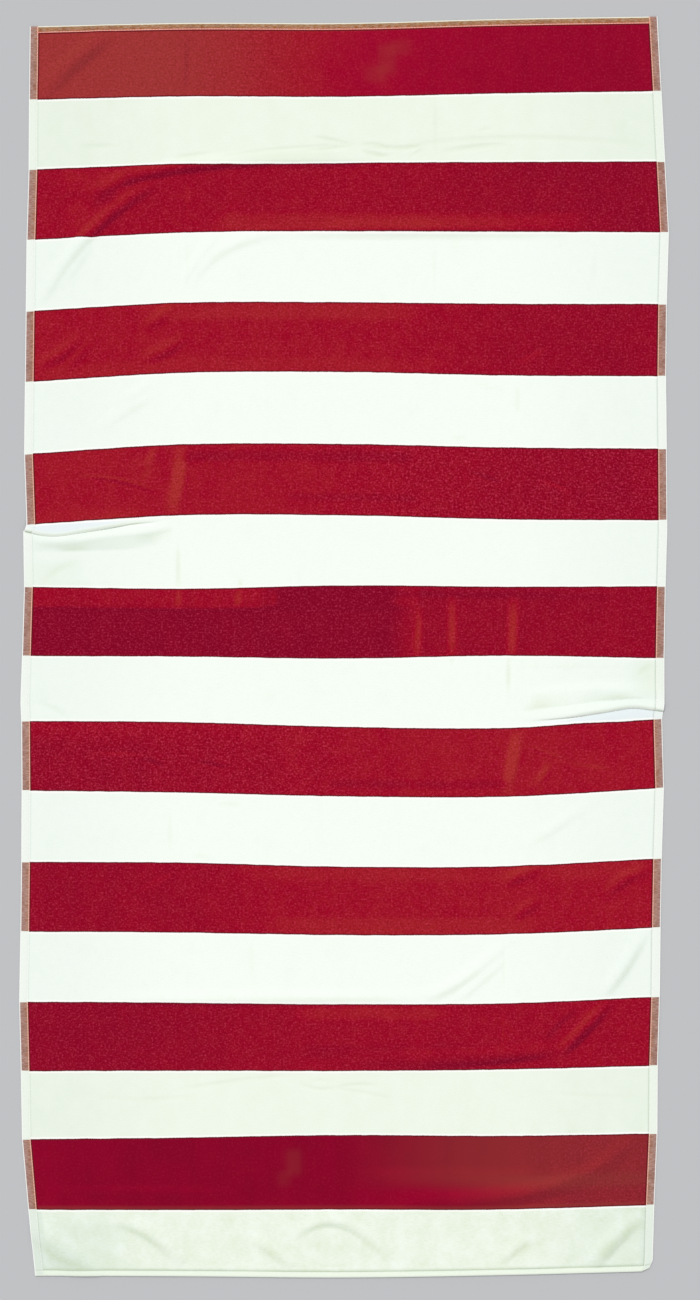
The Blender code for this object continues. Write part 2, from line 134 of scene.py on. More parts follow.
# Fine creases pressed into the pile along such curves: how deep and how far to either side. Red
# pile looks lighter there where the tone is above 0 and darker where it is below; white pile is
# always darker there, with painted shade.
Crease = namedtuple("Crease", "from_x from_y bend_x bend_y to_x to_y depth reach tone")
CREASES = rows_of(Crease, (
    # Old pressed lines that run along the towel.
    (-0.190, 0.747, -0.191, 0.708, -0.192, 0.672, 0.0003, 0.006, -0.75),
    (-0.190, 0.584, -0.190, 0.545, -0.191, 0.509, 0.0003, 0.004, 0.3),
    (-0.190, 0.501, -0.190, 0.470, -0.190, 0.433, 0.0003, 0.004, 0.2),
    (0.112, 0.669, 0.112, 0.630, 0.112, 0.594, 0.0002, 0.004, 0.25),
    (0.111, 0.496, 0.111, 0.460, 0.111, 0.423, 0.0003, 0.004, 0.4),
    (0.306, 0.476, 0.303, 0.454, 0.301, 0.432, 0.0003, 0.005, 0.3),
    (0.212, 0.319, 0.212, 0.301, 0.212, 0.284, 0.0003, 0.005, 0.6),
    (-0.201, 0.125, -0.201, 0.099, -0.201, 0.072, 0.0006, 0.004, 1.0),
    (-0.125, 0.085, -0.125, 0.079, -0.125, 0.072, 0.0005, 0.004, 0.9),
    (-0.201, 0.072, -0.201, 0.062, -0.201, 0.049, 0.0003, 0.006, 0.9),
    (-0.128, 0.072, -0.128, 0.062, -0.128, 0.049, 0.0003, 0.006, 0.9),
    (-0.086, 0.072, -0.086, 0.062, -0.086, 0.049, 0.0003, 0.006, 0.8),
    (0.093, 0.052, 0.091, 0.021, 0.090, -0.016, 0.0002, 0.0065, 1.1),
    (0.132, 0.066, 0.132, 0.021, 0.132, -0.016, 0.0002, 0.0085, 1.2),
    (0.132, -0.012, 0.132, -0.016, 0.132, -0.021, 0.0005, 0.004, 0.5),
    (0.207, 0.066, 0.206, 0.021, 0.204, -0.016, 0.0002, 0.0095, 1.3),
    (0.201, -0.010, 0.201, -0.033, 0.201, -0.055, 0.0006, 0.004, 1.0),
    (-0.211, -0.194, -0.211, -0.222, -0.211, -0.250, 0.0003, 0.005, 0.4),
    (-0.110, -0.353, -0.110, -0.389, -0.110, -0.427, 0.0003, 0.004, 0.6),
    (0.195, -0.350, 0.195, -0.389, 0.195, -0.429, 0.0003, 0.004, 0.3),
    (0.194, -0.439, 0.194, -0.466, 0.194, -0.493, 0.0002, 0.004, 0.3),
    (-0.187, -0.702, -0.196, -0.728, -0.184, -0.753, 0.0005, 0.006, 0.45),
    # The foot: beside its folds and its arch, and at its corners.
    (-0.378, -0.722, -0.345, -0.748, -0.308, -0.758, 0.0003, 0.006, 0.80),
    (-0.330, -0.716, -0.300, -0.732, -0.275, -0.757, 0.0002, 0.008, 0.40),
    (-0.270, -0.702, -0.232, -0.716, -0.207, -0.752, 0.0001, 0.010, 0.35),
    (-0.108, -0.719, -0.088, -0.731, -0.067, -0.754, 0.0003, 0.006, 0.55),
    (-0.055, -0.722, -0.010, -0.673, 0.054, -0.752, 0.0001, 0.0060, 0.30),
    (-0.044, -0.749, -0.020, -0.752, 0.004, -0.754, 0.0004, 0.003, 0.60),
    (0.362, -0.691, 0.325, -0.724, 0.301, -0.751, 0.0005, 0.006, 0.75),
    (0.182, -0.757, 0.215, -0.735, 0.270, -0.710, 0.0002, 0.007, 0.40),
    # Small wrinkles of the second and sixteenth stripes.
    (-0.038, 0.623, -0.015, 0.619, 0.009, 0.613, 0.0006, 0.003, 0.55),
    (-0.052, 0.606, -0.015, 0.606, 0.011, 0.612, 0.0006, 0.003, 0.55),
    (0.020, 0.612, 0.041, 0.617, 0.060, 0.606, 0.0005, 0.003, 0.50),
    (0.021, 0.608, 0.036, 0.594, 0.060, 0.601, 0.0005, 0.003, 0.45),
    (0.060, 0.607, 0.078, 0.606, 0.095, 0.611, 0.0005, 0.003, 0.40),
    (0.078, 0.596, 0.088, 0.602, 0.098, 0.609, 0.0004, 0.003, 0.35),
    (0.118, 0.603, 0.160, 0.611, 0.201, 0.613, 0.0006, 0.005, 0.40),
    (0.166, 0.629, 0.174, 0.632, 0.181, 0.634, 0.0004, 0.004, 0.35),
    (-0.325, 0.611, -0.300, 0.610, -0.270, 0.612, 0.0003, 0.004, 0.25),
    (-0.205, 0.596, -0.190, 0.598, -0.160, 0.603, 0.0004, 0.004, 0.40),
    (-0.155, 0.597, -0.090, 0.609, 0.012, 0.613, 0.0004, 0.003, 0.50),
    (0.022, 0.612, 0.050, 0.606, 0.101, 0.612, 0.0005, 0.003, 0.50),
    (0.024, 0.605, 0.040, 0.602, 0.055, 0.597, 0.0004, 0.003, 0.40),
    (0.063, 0.609, 0.190, 0.632, 0.380, 0.612, 0.0003, 0.005, 0.35),
    (-0.202, -0.537, -0.150, -0.530, -0.077, -0.518, 0.0003, 0.004, 0.35),
    (-0.113, -0.529, -0.090, -0.519, -0.061, -0.521, 0.0003, 0.003, 0.35),
    (-0.056, -0.527, -0.030, -0.542, -0.012, -0.535, 0.0004, 0.003, 0.40),
    (-0.012, -0.535, 0.017, -0.529, 0.045, -0.533, 0.0004, 0.003, 0.40),
    (-0.020, -0.535, 0.020, -0.538, 0.069, -0.551, 0.0003, 0.003, 0.35),
    (-0.040, -0.528, -0.028, -0.523, -0.016, -0.530, 0.0003, 0.003, 0.30),
    (0.240, -0.540, 0.300, -0.548, 0.374, -0.545, 0.0002, 0.004, 0.15),
    (-0.296, -0.547, -0.235, -0.552, -0.174, -0.545, 0.0002, 0.004, 0.20),
    # Thin lines beside the pleats and across red stripes.
    (-0.308, 0.206, -0.267, 0.204, -0.225, 0.186, 0.0005, 0.003, -0.8),
    (0.224, -0.122, 0.255, -0.135, 0.306, -0.146, 0.0005, 0.003, -0.8),
    (-0.244, -0.136, -0.231, -0.138, -0.218, -0.146, 0.0005, 0.004, -0.6),
    (-0.179, -0.138, -0.160, -0.141, -0.140, -0.147, 0.0005, 0.004, -0.6),
    (-0.313, -0.127, -0.278, -0.127, -0.242, -0.130, 0.0003, 0.004, 0.4),
    (0.207, 0.347, 0.228, 0.355, 0.250, 0.367, 0.0004, 0.004, 0.5),
    (0.151, 0.216, 0.172, 0.209, 0.192, 0.199, 0.0004, 0.004, -0.5),
    (0.240, 0.205, 0.257, 0.199, 0.276, 0.191, 0.0004, 0.004, 0.5),
    (-0.251, -0.295, -0.229, -0.283, -0.206, -0.273, 0.0003, 0.004, 0.4),
    (-0.369, 0.079, -0.347, 0.099, -0.323, 0.104, 0.0005, 0.005, 0.5),
    (-0.379, -0.064, -0.357, -0.068, -0.331, -0.087, 0.0005, 0.005, 0.5),
    (0.353, -0.037, 0.365, -0.027, 0.378, -0.016, 0.0005, 0.005, 0.5),
))

# Marks along such curves, which show in tone alone.
Mark = namedtuple("Mark", "from_x from_y bend_x bend_y to_x to_y reach tone")
MARKS = rows_of(Mark, (
    # Pale bands along the ridges at the ends of the pleats.
    (-0.197, 0.246, -0.198, 0.206, -0.211, 0.158, 0.011, 1.2),
    (-0.231, 0.244, -0.234, 0.222, -0.246, 0.200, 0.007, 0.7),
    (0.211, -0.100, 0.208, -0.137, 0.198, -0.180, 0.011, 1.2),
    (0.236, -0.180, 0.239, -0.160, 0.250, -0.137, 0.007, 0.7),
    # A pale band below the wrinkles of the second stripe.
    (-0.140, 0.596, -0.060, 0.600, 0.010, 0.600, 0.009, 0.50),
    # Faint smudges of the sixth and twelfth stripes.
    (0.131, 0.257, 0.142, 0.2565, 0.153, 0.2575, 0.004, 0.50),
    (-0.154, -0.188, -0.140, -0.1885, -0.124, -0.190, 0.004, 0.50),
    (0.154, 0.322, 0.178, 0.319, 0.190, 0.313, 0.004, 0.35),
    (-0.188, -0.249, -0.175, -0.255, -0.151, -0.258, 0.004, 0.35),
    # Painted shade: dark lines beside the long folds.
    (-0.371, 0.683, -0.335, 0.703, -0.287, 0.745, 0.014, -0.40),
    (-0.294, 0.554, -0.205, 0.591, -0.072, 0.585, 0.005, -0.25),
    (-0.072, 0.585, -0.010, 0.588, 0.040, 0.588, 0.005, -0.5),
    (-0.313, 0.530, -0.296, 0.548, -0.272, 0.560, 0.006, -0.18),
    (-0.281, 0.516, -0.268, 0.535, -0.242, 0.552, 0.006, -0.12),
    (0.060, -0.511, 0.165, -0.512, 0.245, -0.496, 0.005, -0.7),
    (0.286, -0.439, 0.262, -0.455, 0.245, -0.480, 0.006, -0.6),
    (0.298, -0.459, 0.290, -0.478, 0.272, -0.490, 0.006, -0.6),
    (0.069, -0.684, 0.249, -0.693, 0.344, -0.612, 0.006, -0.8),
    (-0.077, 0.068, 0.140, 0.065, 0.362, 0.062, 0.007, -0.45),
    # Pale ones along a fold and at the foot.
    (-0.186, -0.423, -0.040, -0.430, 0.106, -0.425, 0.005, 0.35),
    (-0.181, -0.705, -0.184, -0.728, -0.180, -0.755, 0.004, 0.25),
    (-0.016, -0.750, -0.006, -0.752, 0.002, -0.754, 0.004, 0.30),
    (0.090, -0.748, 0.104, -0.752, 0.118, -0.753, 0.004, 0.30),
    # Thin lines beside the pleats, painted shade on white pile, and across red stripes.
    (-0.350, 0.119, -0.285, 0.126, -0.211, 0.142, 0.0040, 1.40),
    (0.222, -0.075, 0.280, -0.060, 0.353, -0.056, 0.0050, 2.20),
    (-0.380, 0.080, -0.290, 0.079, -0.190, 0.077, 0.0040, 0.22),
    (0.190, -0.021, 0.290, -0.022, 0.385, -0.023, 0.0040, 0.22),
    (-0.326, 0.210, -0.270, 0.211, -0.229, 0.191, 0.003, 0.8),
    (0.226, -0.117, 0.268, -0.142, 0.326, -0.147, 0.004, 0.9),
    (-0.359, -0.658, -0.247, -0.657, -0.125, -0.660, 0.005, 0.35),
))

# Painted shade on white pile along such curves, where it looks greyer.
SHADE_LINES = rows_of(Mark, (
    (-0.382, -0.716, -0.360, -0.752, -0.300, -0.772, 0.030, 1.00),
    (-0.352, 0.120, -0.290, 0.125, -0.220, 0.141, 0.004, 0.65),
    (0.226, -0.068, 0.300, -0.055, 0.350, -0.055, 0.005, 0.30),
))

# Gentle unevenness of the pile: how many waves lie over each other, and their range of lengths.
WAVES = 16
WAVE_SHORT = 0.045
WAVE_LONG = 0.160
WAVE_HEIGHT = 0.00010
SEED = 7

# A pinched pleat: the cloth laps over itself towards the foot. Its crest runs inwards from a side
# edge at some distance past a line between stripes, and is full where the pleat is at its tallest.
Run = namedtuple("Run", "inwards past_line fullness")
LEFT_RUN = rows_of(Run, (
    (0.0, 0.0050, 0.75), (0.038, 0.0136, 1.0), (0.068, 0.0110, 0.97), (0.091, 0.0082, 0.88),
    (0.130, 0.0045, 0.48), (0.167, 0.0040, 0.14), (0.200, 0.0040, 0.0),
))
RIGHT_RUN = rows_of(Run, (
    (0.0, -0.0172, 0.75), (0.040, -0.0243, 1.0), (0.066, -0.0208, 0.97), (0.091, -0.0176, 0.88),
    (0.130, -0.0130, 0.48), (0.167, -0.0120, 0.14), (0.200, -0.0120, 0.0),
))
Pleat = namedtuple("Pleat", "side line run")
PLEATS = (Pleat("left", 7, LEFT_RUN), Pleat("right", 10, RIGHT_RUN))
# Across a pleat, by distance along the cloth from its crest: how far towards the foot and up the
# cloth is carried, and the share of its thickness that the pinch leaves.
Section = namedtuple("Section", "along ahead lift share")
SECTION = rows_of(Section, (
    (-0.022, 0.0, 0.0, 1.0),
    (-0.014, 0.0003, 0.0004, 1.0),
    (-0.009, 0.0009, 0.0014, 1.0),
    (-0.005, 0.0015, 0.0025, 1.0),
    (-0.002, 0.0017, 0.0032, 1.0),
    (0.0, 0.0015, 0.0033, 1.0),
    (0.002, 0.0006, 0.0026, 1.0),
    (0.004, -0.0015, 0.0013, 0.45),
    (0.006, -0.0027, 0.0003, 0.45),
    (0.008, -0.0026, 0.0, 0.65),
    (0.012, -0.0022, 0.0, 1.0),
    (0.020, -0.0010, 0.0, 1.0),
    (0.030, 0.0, 0.0, 1.0),
))
PLEAT_ROWS = (  # by distance along the cloth from the crest
    -0.0120, -0.0100, -0.0080, -0.0060, -0.0045, -0.0030, -0.0015, 0.0, 0.0010, 0.0020,
    0.0030, 0.0040, 0.0050, 0.0060, 0.0070, 0.0080, 0.0100, 0.0125, 0.0150, 0.0180,
)
ROWS_CLEAR = 0.02  # stripes between the rows that follow a pleat and the even ones
# Bands beside a crest, by distance from it: over how much one rises, where it ends and over how much
# it falls. The strip lies between the crest and the next stripe, the front on the side of the foot.
Band = namedtuple("Band", "rise end fall")
STRIP = Band(0.003, 0.024, 0.006)
FRONT = Band(0.001, 0.010, 0.002)

# Hems: the share of CLOTH left, inwards from an edge. A hem is flat weave, turned and sewn.
Hem = namedtuple("Hem", "inwards share")
SIDE_HEM = rows_of(Hem, (
    (0.0, 0.42), (0.0003, 0.62), (0.0008, 0.71), (0.0013, 0.66), (0.0019, 0.71),
    (0.0050, 0.73), (0.0080, 0.73), (0.0091, 0.70), (0.0099, 0.58), (0.0106, 0.64),
    (0.0111, 0.86), (0.0120, 0.98), (0.0135, 1.0),
))
HEAD_HEM = rows_of(Hem, (
    (0.0, 0.42), (0.0003, 0.62), (0.0008, 0.71), (0.0013, 0.66), (0.0019, 0.71),
    (0.0040, 0.73), (0.0062, 0.72), (0.0070, 0.60), (0.0077, 0.64), (0.0083, 0.86),
    (0.0092, 0.98), (0.0110, 1.0),
))
FOOT_HEM = rows_of(Hem, (
    (0.0, 0.55), (0.0003, 0.80), (0.0009, 0.95), (0.0024, 1.0), (0.0044, 0.95),
    (0.0057, 0.64), (0.0068, 0.50), (0.0078, 0.72), (0.0092, 0.96), (0.0118, 1.0),
))
SIDE_BAND = 0.0108  # how far inwards a hem's flat weave shows
HEAD_BAND = 0.0080
FOOT_BAND = 0.0068

# Grid spacing away from hems and pleats, finer where small wrinkles and old fold lines lie. Rows
# are placed in stripes from the head and columns in shares across. The underside keeps only every
# so many of them.
UNDERSIDE_ROWS = 2
UNDERSIDE_COLUMNS = 4
SPACING_SAMPLES = 4000  # how finely the spacing is summed up from one edge to the other
Spacing = namedtuple("Spacing", "at step")
ROW_SPACING = rows_of(Spacing, (
    (0.0, 0.0042), (1.40, 0.0042), (1.52, 0.0018), (1.94, 0.0018),
    (2.1, 0.0042), (6.1, 0.0042), (6.2, 0.0020), (6.7, 0.0020),
    (6.8, 0.0042), (10.2, 0.0042), (10.3, 0.0020), (10.8, 0.0020),
    (10.9, 0.0042), (15.0, 0.0042), (15.10, 0.0018), (15.42, 0.0018),
    (15.6, 0.0042), (17.1, 0.0042), (17.3, 0.0030), (18.0, 0.0030),
))
COLUMN_SPACING = rows_of(Spacing, (
    (0.0, 0.0054), (0.225, 0.0054), (0.235, 0.0022), (0.262, 0.0022),
    (0.272, 0.0056), (0.328, 0.0056), (0.332, 0.0028), (0.344, 0.0028),
    (0.348, 0.0056), (0.600, 0.0056), (0.606, 0.0028), (0.676, 0.0028),
    (0.682, 0.0056), (0.742, 0.0056), (0.750, 0.0022), (0.775, 0.0022),
    (0.785, 0.0054), (1.0, 0.0054),
))

# Where the pile looks lighter (above 0) or darker (below 0): a patch's middle and half sizes, in
# stripes from the head and shares across, how softly it ends, and its tone.
Patch = namedtuple("Patch", "line across half_line half_across soft_line soft_across tone")
RED_PATCHES = rows_of(Patch, (
    # The right side above the middle and the left side below it are a little darker.
    (3.5, 1.00, 3.6, 0.05, 0.4, 0.50, -0.48),
    (13.0, 0.00, 2.6, 0.05, 0.4, 0.50, -0.48),
    # Single stripes, whole or to one side.
    (2.5, 0.50, 0.5, 0.50, 0.1, 0.10, -0.15),
    (14.5, 0.50, 0.5, 0.50, 0.1, 0.10, -0.15),
    (0.5, 0.10, 0.5, 0.15, 0.1, 0.40, 0.22),
    (4.5, 0.25, 0.5, 0.30, 0.1, 0.20, 0.08),
    (6.5, 0.20, 0.5, 0.15, 0.1, 0.20, 0.12),
    (10.5, 0.80, 0.5, 0.15, 0.1, 0.20, 0.12),
    (12.5, 0.75, 0.5, 0.30, 0.1, 0.20, 0.08),
    # Bands and places of the third stripe, and bands along the edges of the fifth and thirteenth.
    (2.20, 0.10, 0.10, 0.030, 0.10, 0.03, 0.34),
    (2.74, 0.08, 0.12, 0.012, 0.12, 0.02, 0.26),
    (2.30, 0.072, 0.06, 0.008, 0.08, 0.014, -0.30),
    (2.44, 0.122, 0.08, 0.010, 0.10, 0.014, -0.30),
    (4.12, 0.40, 0.08, 0.17, 0.08, 0.06, 0.34),
    (4.90, 0.34, 0.05, 0.26, 0.10, 0.10, 0.24),
    (12.88, 0.60, 0.08, 0.17, 0.08, 0.06, 0.34),
    (12.10, 0.66, 0.05, 0.26, 0.10, 0.10, 0.24),
    # The ninth stripe: deep to the left but for a strip along its upper edge.
    (8.65, 0.28, 0.34, 0.28, 0.06, 0.07, -0.92),
    (8.14, 0.28, 0.16, 0.28, 0.04, 0.07, -0.40),
    (8.14, 0.20, 0.12, 0.18, 0.05, 0.02, 0.32),
    (8.14, 0.475, 0.16, 0.085, 0.04, 0.03, -0.62),
    (8.5, 0.81, 0.5, 0.19, 0.1, 0.01, -0.42),
    # The seventeenth stripe.
    (16.5, 0.20, 0.5, 0.00, 0.1, 0.60, -0.88),
    (16.5, 0.95, 0.5, 0.20, 0.1, 0.50, -0.85),
    (16.62, 0.75, 0.05, 0.20, 0.12, 0.08, -0.20),
    (16.72, 0.68, 0.20, 0.10, 0.15, 0.10, 0.38),
    # Bands along folds.
    (14.72, 0.62, 0.05, 0.15, 0.10, 0.06, -0.30),
    (2.86, 0.58, 0.07, 0.26, 0.10, 0.04, 0.45),
    (14.13, 0.55, 0.06, 0.08, 0.08, 0.06, 0.45),
    (6.17, 0.42, 0.04, 0.17, 0.07, 0.02, -0.45),
    (6.75, 0.51, 0.02, 0.09, 0.06, 0.02, -0.35),
    (10.82, 0.62, 0.03, 0.13, 0.06, 0.02, -0.42),
))
BRUSHED_PATCHES = rows_of(Patch, (  # pile brushed the other way, duller and paler
    (0.5, 0.06, 0.5, 0.12, 0.1, 0.31, 1.00),
    (0.50, 0.567, 0.14, 0.006, 0.12, 0.014, 0.32),
    (0.70, 0.550, 0.06, 0.006, 0.10, 0.020, 0.30),
    (0.35, 0.590, 0.05, 0.006, 0.10, 0.018, 0.28),
    (16.28, 0.92, 0.28, 0.16, 0.24, 0.28, 0.74),
    (16.85, 1.00, 0.15, 0.12, 0.24, 0.26, 0.62),
    (16.36, 0.426, 0.10, 0.006, 0.14, 0.012, 0.32),
    (16.58, 0.410, 0.05, 0.004, 0.10, 0.012, 0.22),
    # White pile of the last stripe is rubbed uneven.
    (17.5, 0.50, 0.5, 0.60, 0.05, 0.10, 1.00),
))
SMOOTH_PATCHES = rows_of(Patch, (  # red pile with less of its grain, or with more where below 0
    (16.5, 0.30, 0.5, 0.40, 0.05, 0.20, 0.72),
    (0.5, 0.85, 0.5, 0.30, 0.05, 0.20, 0.50),
    (0.5, 0.10, 0.5, 0.25, 0.05, 0.20, -0.15),
    (6.5, 0.80, 0.5, 0.20, 0.05, 0.20, -0.42),
    (10.5, 0.20, 0.5, 0.20, 0.05, 0.20, -0.42),
))
WHITE_PATCHES = rows_of(Patch, (
    (1.5, 0.50, 0.5, 0.70, 0.05, 0.10, -0.36),
    (15.5, 0.50, 0.5, 0.70, 0.05, 0.10, -0.34),
    (17.5, 0.50, 0.5, 0.70, 0.05, 0.10, -0.42),
    (9.30, 0.99, 0.12, 0.01, 0.30, 0.05, -0.30),
    (7.85, 0.03, 0.15, 0.02, 0.20, 0.06, -0.20),
))
SHADE_PATCHES = rows_of(Patch, (  # white pile in a little painted shade
    (9.0, 0.00, 9.2, 0.03, 0.10, 0.25, 0.33),
    (9.0, 1.00, 9.2, 0.03, 0.10, 0.25, 0.33),
    (17.5, 1.00, 0.5, 0.04, 0.05, 0.14, 0.22),
    (17.5, 0.00, 0.5, 0.015, 0.05, 0.01, 0.95),
    (17.5, 1.00, 0.5, 0.015, 0.05, 0.01, 0.50),
    (17.6, 0.09, 0.3, 0.02, 0.20, 0.06, 0.30),
))

# ---------------------------------------------------------------- colours
RED = (0.302, 0.0008, 0.0155)
# The lit reds take painted light on slopes that face the key light, and the deep reds take painted shade
# on slopes that face away, as well as the pile's own lighter and deeper places.
RED_LIT = (0.352, 0.0220, 0.0195)
RED_WARM = (0.345, 0.0125, 0.0210)
RED_BRICK = (0.312, 0.0085, 0.0140)
RED_SMOOTH = (0.302, 0.0002, 0.0270)
RED_DEEP_AND_SHADED = (0.202, 0.0006, 0.0168)
RED_BRUSHED = (0.300, 0.0300, 0.0285)
RED_BRUSHED_LIT = (0.312, 0.0380, 0.0300)
RED_BRUSHED_DEEP_AND_SHADED = (0.225, 0.0240, 0.0250)
RED_SPECK = (0.640, 0.0520, 0.1250)
# painted shade along the edges of red stripes and beside the hems' flat weave
RED_EDGE_SHADE = (0.110, 0.0070, 0.0120)
WHITE = (0.824, 0.874, 0.810)
WHITE_COOL = (0.765, 0.812, 0.832)
# dull white: the pile's own duller places, and painted shade where it leans away from the key light or
# lies in creases
WHITE_DULL_AND_SHADED = (0.665, 0.735, 0.560)
WHITE_GREY_AND_SHADE = (0.840, 0.880, 0.875)  # multiplies the white: painted shade, and grey patches at random
# a painted highlight along white pile's edge beside the red, and the pale flecks of twisted thread
WHITE_EDGE = (0.900, 0.890, 0.860)
# painted light on the front of a lap, against the shade beneath its overhang
WHITE_LAP_LIGHT = (0.975, 0.985, 0.975)
LONG_BAND_OUTER = (0.318, 0.158, 0.130)
LONG_BAND_INNER = (0.350, 0.148, 0.088)
BAND_ON_WHITE = (0.835, 0.872, 0.815)
FOOT_BAND_ON_WHITE = (0.790, 0.850, 0.745)
HEAD_BAND_OUTER = (0.322, 0.170, 0.054)
HEAD_BAND_INNER = (0.365, 0.095, 0.015)
YARN_DARK = (0.160, 0.060, 0.035)
TURNED_EDGE = (0.900, 0.900, 0.870)
HEAD_EDGE = (0.860, 0.845, 0.720)
# the foot's turned-down rim, darker with painted shade
FOOT_EDGE_SHADED = (0.700, 0.745, 0.680)
SEAM_ON_RED = (0.790, 0.345, 0.240)
HEAD_SEAM_ON_RED = (0.860, 0.265, 0.200)
THREAD = (0.850, 0.840, 0.790)
THREAD_ON_RED = (0.760, 0.450, 0.340)
RED_NAP = (0.170, 0.0004, 0.0060)
FLOOR_COLOR = (0.469, 0.472, 0.483)
PAINTED_SLOPE_LIGHT = 2.6  # how much lighter red pile is painted on a slope that faces the key light, and darker on one that faces away: painted light and shade
# the key light's direction across the floor, which the painted light and shade follow
PAINTED_LIGHT_FROM = (-0.35, 0.94)
PAINTED_STEEP_SHADE_FROM = 0.8  # white pile is painted duller where it leans away from the key light by more than this: painted shade
PAINTED_STEEP_SHADE = 0.6
PAINTED_SHADE_FROM = 0.08  # and painted greyer and duller where it leans away from the key light by more than this: painted shade
PAINTED_SHADE_TONE = 0.45
PRESSED_SHADE_AND_MARKS = 0.45  # how much darker white pile looks along a crease or mark: painted shade in creases and beside folds and pleats, and the marks' own tone
GROOVE = 0.0070  # inwards from the foot's edge: the groove along its hem, greyer than the pile with painted shade
GROOVE_REACH = 0.0022
GROOVE_SHADE = 0.8
GROOVE_UNEVEN = 0.55

# ---------------------------------------------------------------- grain of the pile and the weave
# Noises over the cloth: a scale, or one across and one along the cloth, the detail, and a number
# that sets each noise apart.
Noise = namedtuple("Noise", "scale detail number")
MOTTLE = Noise(420.0, 2.0, 1.0)
GRAIN = Noise((170.0, 560.0), 2.0, 4.0)
TUFTS = Noise(820.0, 2.0, 6.0)
RIBS = Noise((42.0, 5.0), 2.0, 11.0)
DAPPLES = Noise(170.0, 2.0, 10.0)
RED_CLOUDS = Noise(26.0, 3.0, 2.0)
RED_PATCHY = Noise(75.0, 2.0, 9.0)
WHITE_CLOUDS = Noise(38.0, 3.0, 7.0)
WHITE_PATCHY = Noise(110.0, 3.0, 12.0)
FINE_WANDER = Noise(600.0, 1.0, 3.0)
SLOW_WANDER = Noise(45.0, 2.0, 5.0)
SLUBS = Noise((200.0, 900.0), 2.0, 8.0)
STAINS = Noise(85.0, 3.0, 13.0)
TWIST = Noise(2600.0, 1.0, 0.0)

# How much a noise changes a tone, or moves the line between two colours, from its least to its most.
FINE_WANDER_RANGE = 0.0008
SLOW_WANDER_RANGE = 0.0014
RED_CLOUDS_RANGE = 0.5
RED_RIBS_RANGE = 0.4
WHITE_CLOUDS_RANGE = 0.30
WHITE_RIBS_RANGE = 0.16
RUBBED_CLOUDS_RANGE = 0.8
RUBBED_PATCHY_RANGE = 0.6
RUBBED_GRAIN_RANGE = 0.9
FLECKS_RANGE = 0.1
GREY_RANGE = 0.25
GREY_LEVEL = -0.117  # the least that the patchy noise adds to grey

# Flecks begin to show where a noise is past one value and are full past another, with a share of
# their own colour.
Flecks = namedtuple("Flecks", "begin full share color")
BRICK_FLECKS = Flecks(0.40, 0.68, 0.40, RED_BRICK)
WARM_FLECKS = Flecks(0.46, 0.74, 0.30, RED_WARM)
PALE_FLECKS = Flecks(0.50, 0.72, 0.38, RED_SPECK)
DARK_FLECKS = Flecks(0.50, 0.28, 0.62, RED_NAP)
DARK_GRAIN = Flecks(0.50, 0.74, 0.35, RED_NAP)
PALE_GRAIN = Flecks(0.48, 0.28, 0.16, RED_SPECK)
DULL_FLECKS = Flecks(0.45, 0.80, 0.08, WHITE_DULL_AND_SHADED)
DULL_GRAIN = Flecks(0.45, 0.80, 0.10, WHITE_DULL_AND_SHADED)
SLUB_FLECKS = Flecks(0.35, 0.65, 0.17, TURNED_EDGE)
STAIN_FLECKS = Flecks(0.46, 0.64, 0.28, YARN_DARK)
TWIST_FLECKS = Flecks(0.35, 0.75, 1.0, WHITE_EDGE)
FLECKS_SHOWN = 0.88  # the share of the red pile's flecks and grain that shows
BRUSHED_HIDES = 0.4  # and how much of it brushed pile hides

# Borders along a line, by distance from it: where one starts and ends, how soft, with what share.
Border = namedtuple("Border", "start end soft share")
# Painted shade along red pile's edges and beside the hems.
RED_EDGE_SHADE_BORDER = Border(-0.002, 0.0009, 0.0004, 0.9)  # above 0 inside the red stripe
# A painted highlight along white pile's edge.
WHITE_EDGE_HIGHLIGHT = Border(-0.0029, 0.001, 0.0005, 0.85)
HEM_EDGE_SHADE_BORDER = Border(-0.001, 0.0015, 0.0005, 1.0)  # above 0 inwards from the hem's flat weave
SEAM_BORDER = Border(-0.0005, 0.0009, 0.0003, 0.9)
HEM_BORDER_ON_RED = 0.92
HEM_BORDER_ON_WHITE = 0.5
LAP_FRONT_LIGHT_SHARE = 0.58
RED_BEGINS = -0.0009  # from the line between stripes: where red pile takes over from white
RED_FULL = -0.0005
HEM_RED_SOFT = 0.0003  # and to either side of it in a hem's flat weave

WARP_PITCH = 0.0013  # of the hems' two yarns
WEFT_PITCH = 0.0011
WEAVE_ON_RED = 0.22  # how dark the hollows between the yarns look: partly the darker yarn's colour, partly painted shade
# and on white, painted shade in those hollows
WEAVE_ON_WHITE = 0.10
OUTER_REACH = 0.001  # inwards from the edge: where the outer colour of a hem begins to change
RIM_BEGINS = 0.0015  # inwards from the edge: the turned edge's colour, its own at the head and sides, and at the foot darker with painted shade
RIM_FULL = 0.0010
RIM_SHARE = 0.9

# Surfaces: their finish, and for a bump how high it is and how strongly it shows.
Finish = namedtuple("Finish", "roughness specular sheen")
CLOTH_FINISH = Finish(0.95, 0.02, 0.02)
THREAD_FINISH = Finish(0.7, 0.15, 0.0)
FLOOR_FINISH = Finish(1.0, 0.0, 0.0)
SHEEN_ROUGHNESS = 0.6
TUFTS_SHARE = 0.6  # of the pile's bump; the rest is its grain
PILE_BUMP = (0.0008, 0.5)
HEM_BUMP = (0.0003, 0.5)
THREAD_BUMP = (0.0002, 0.4)

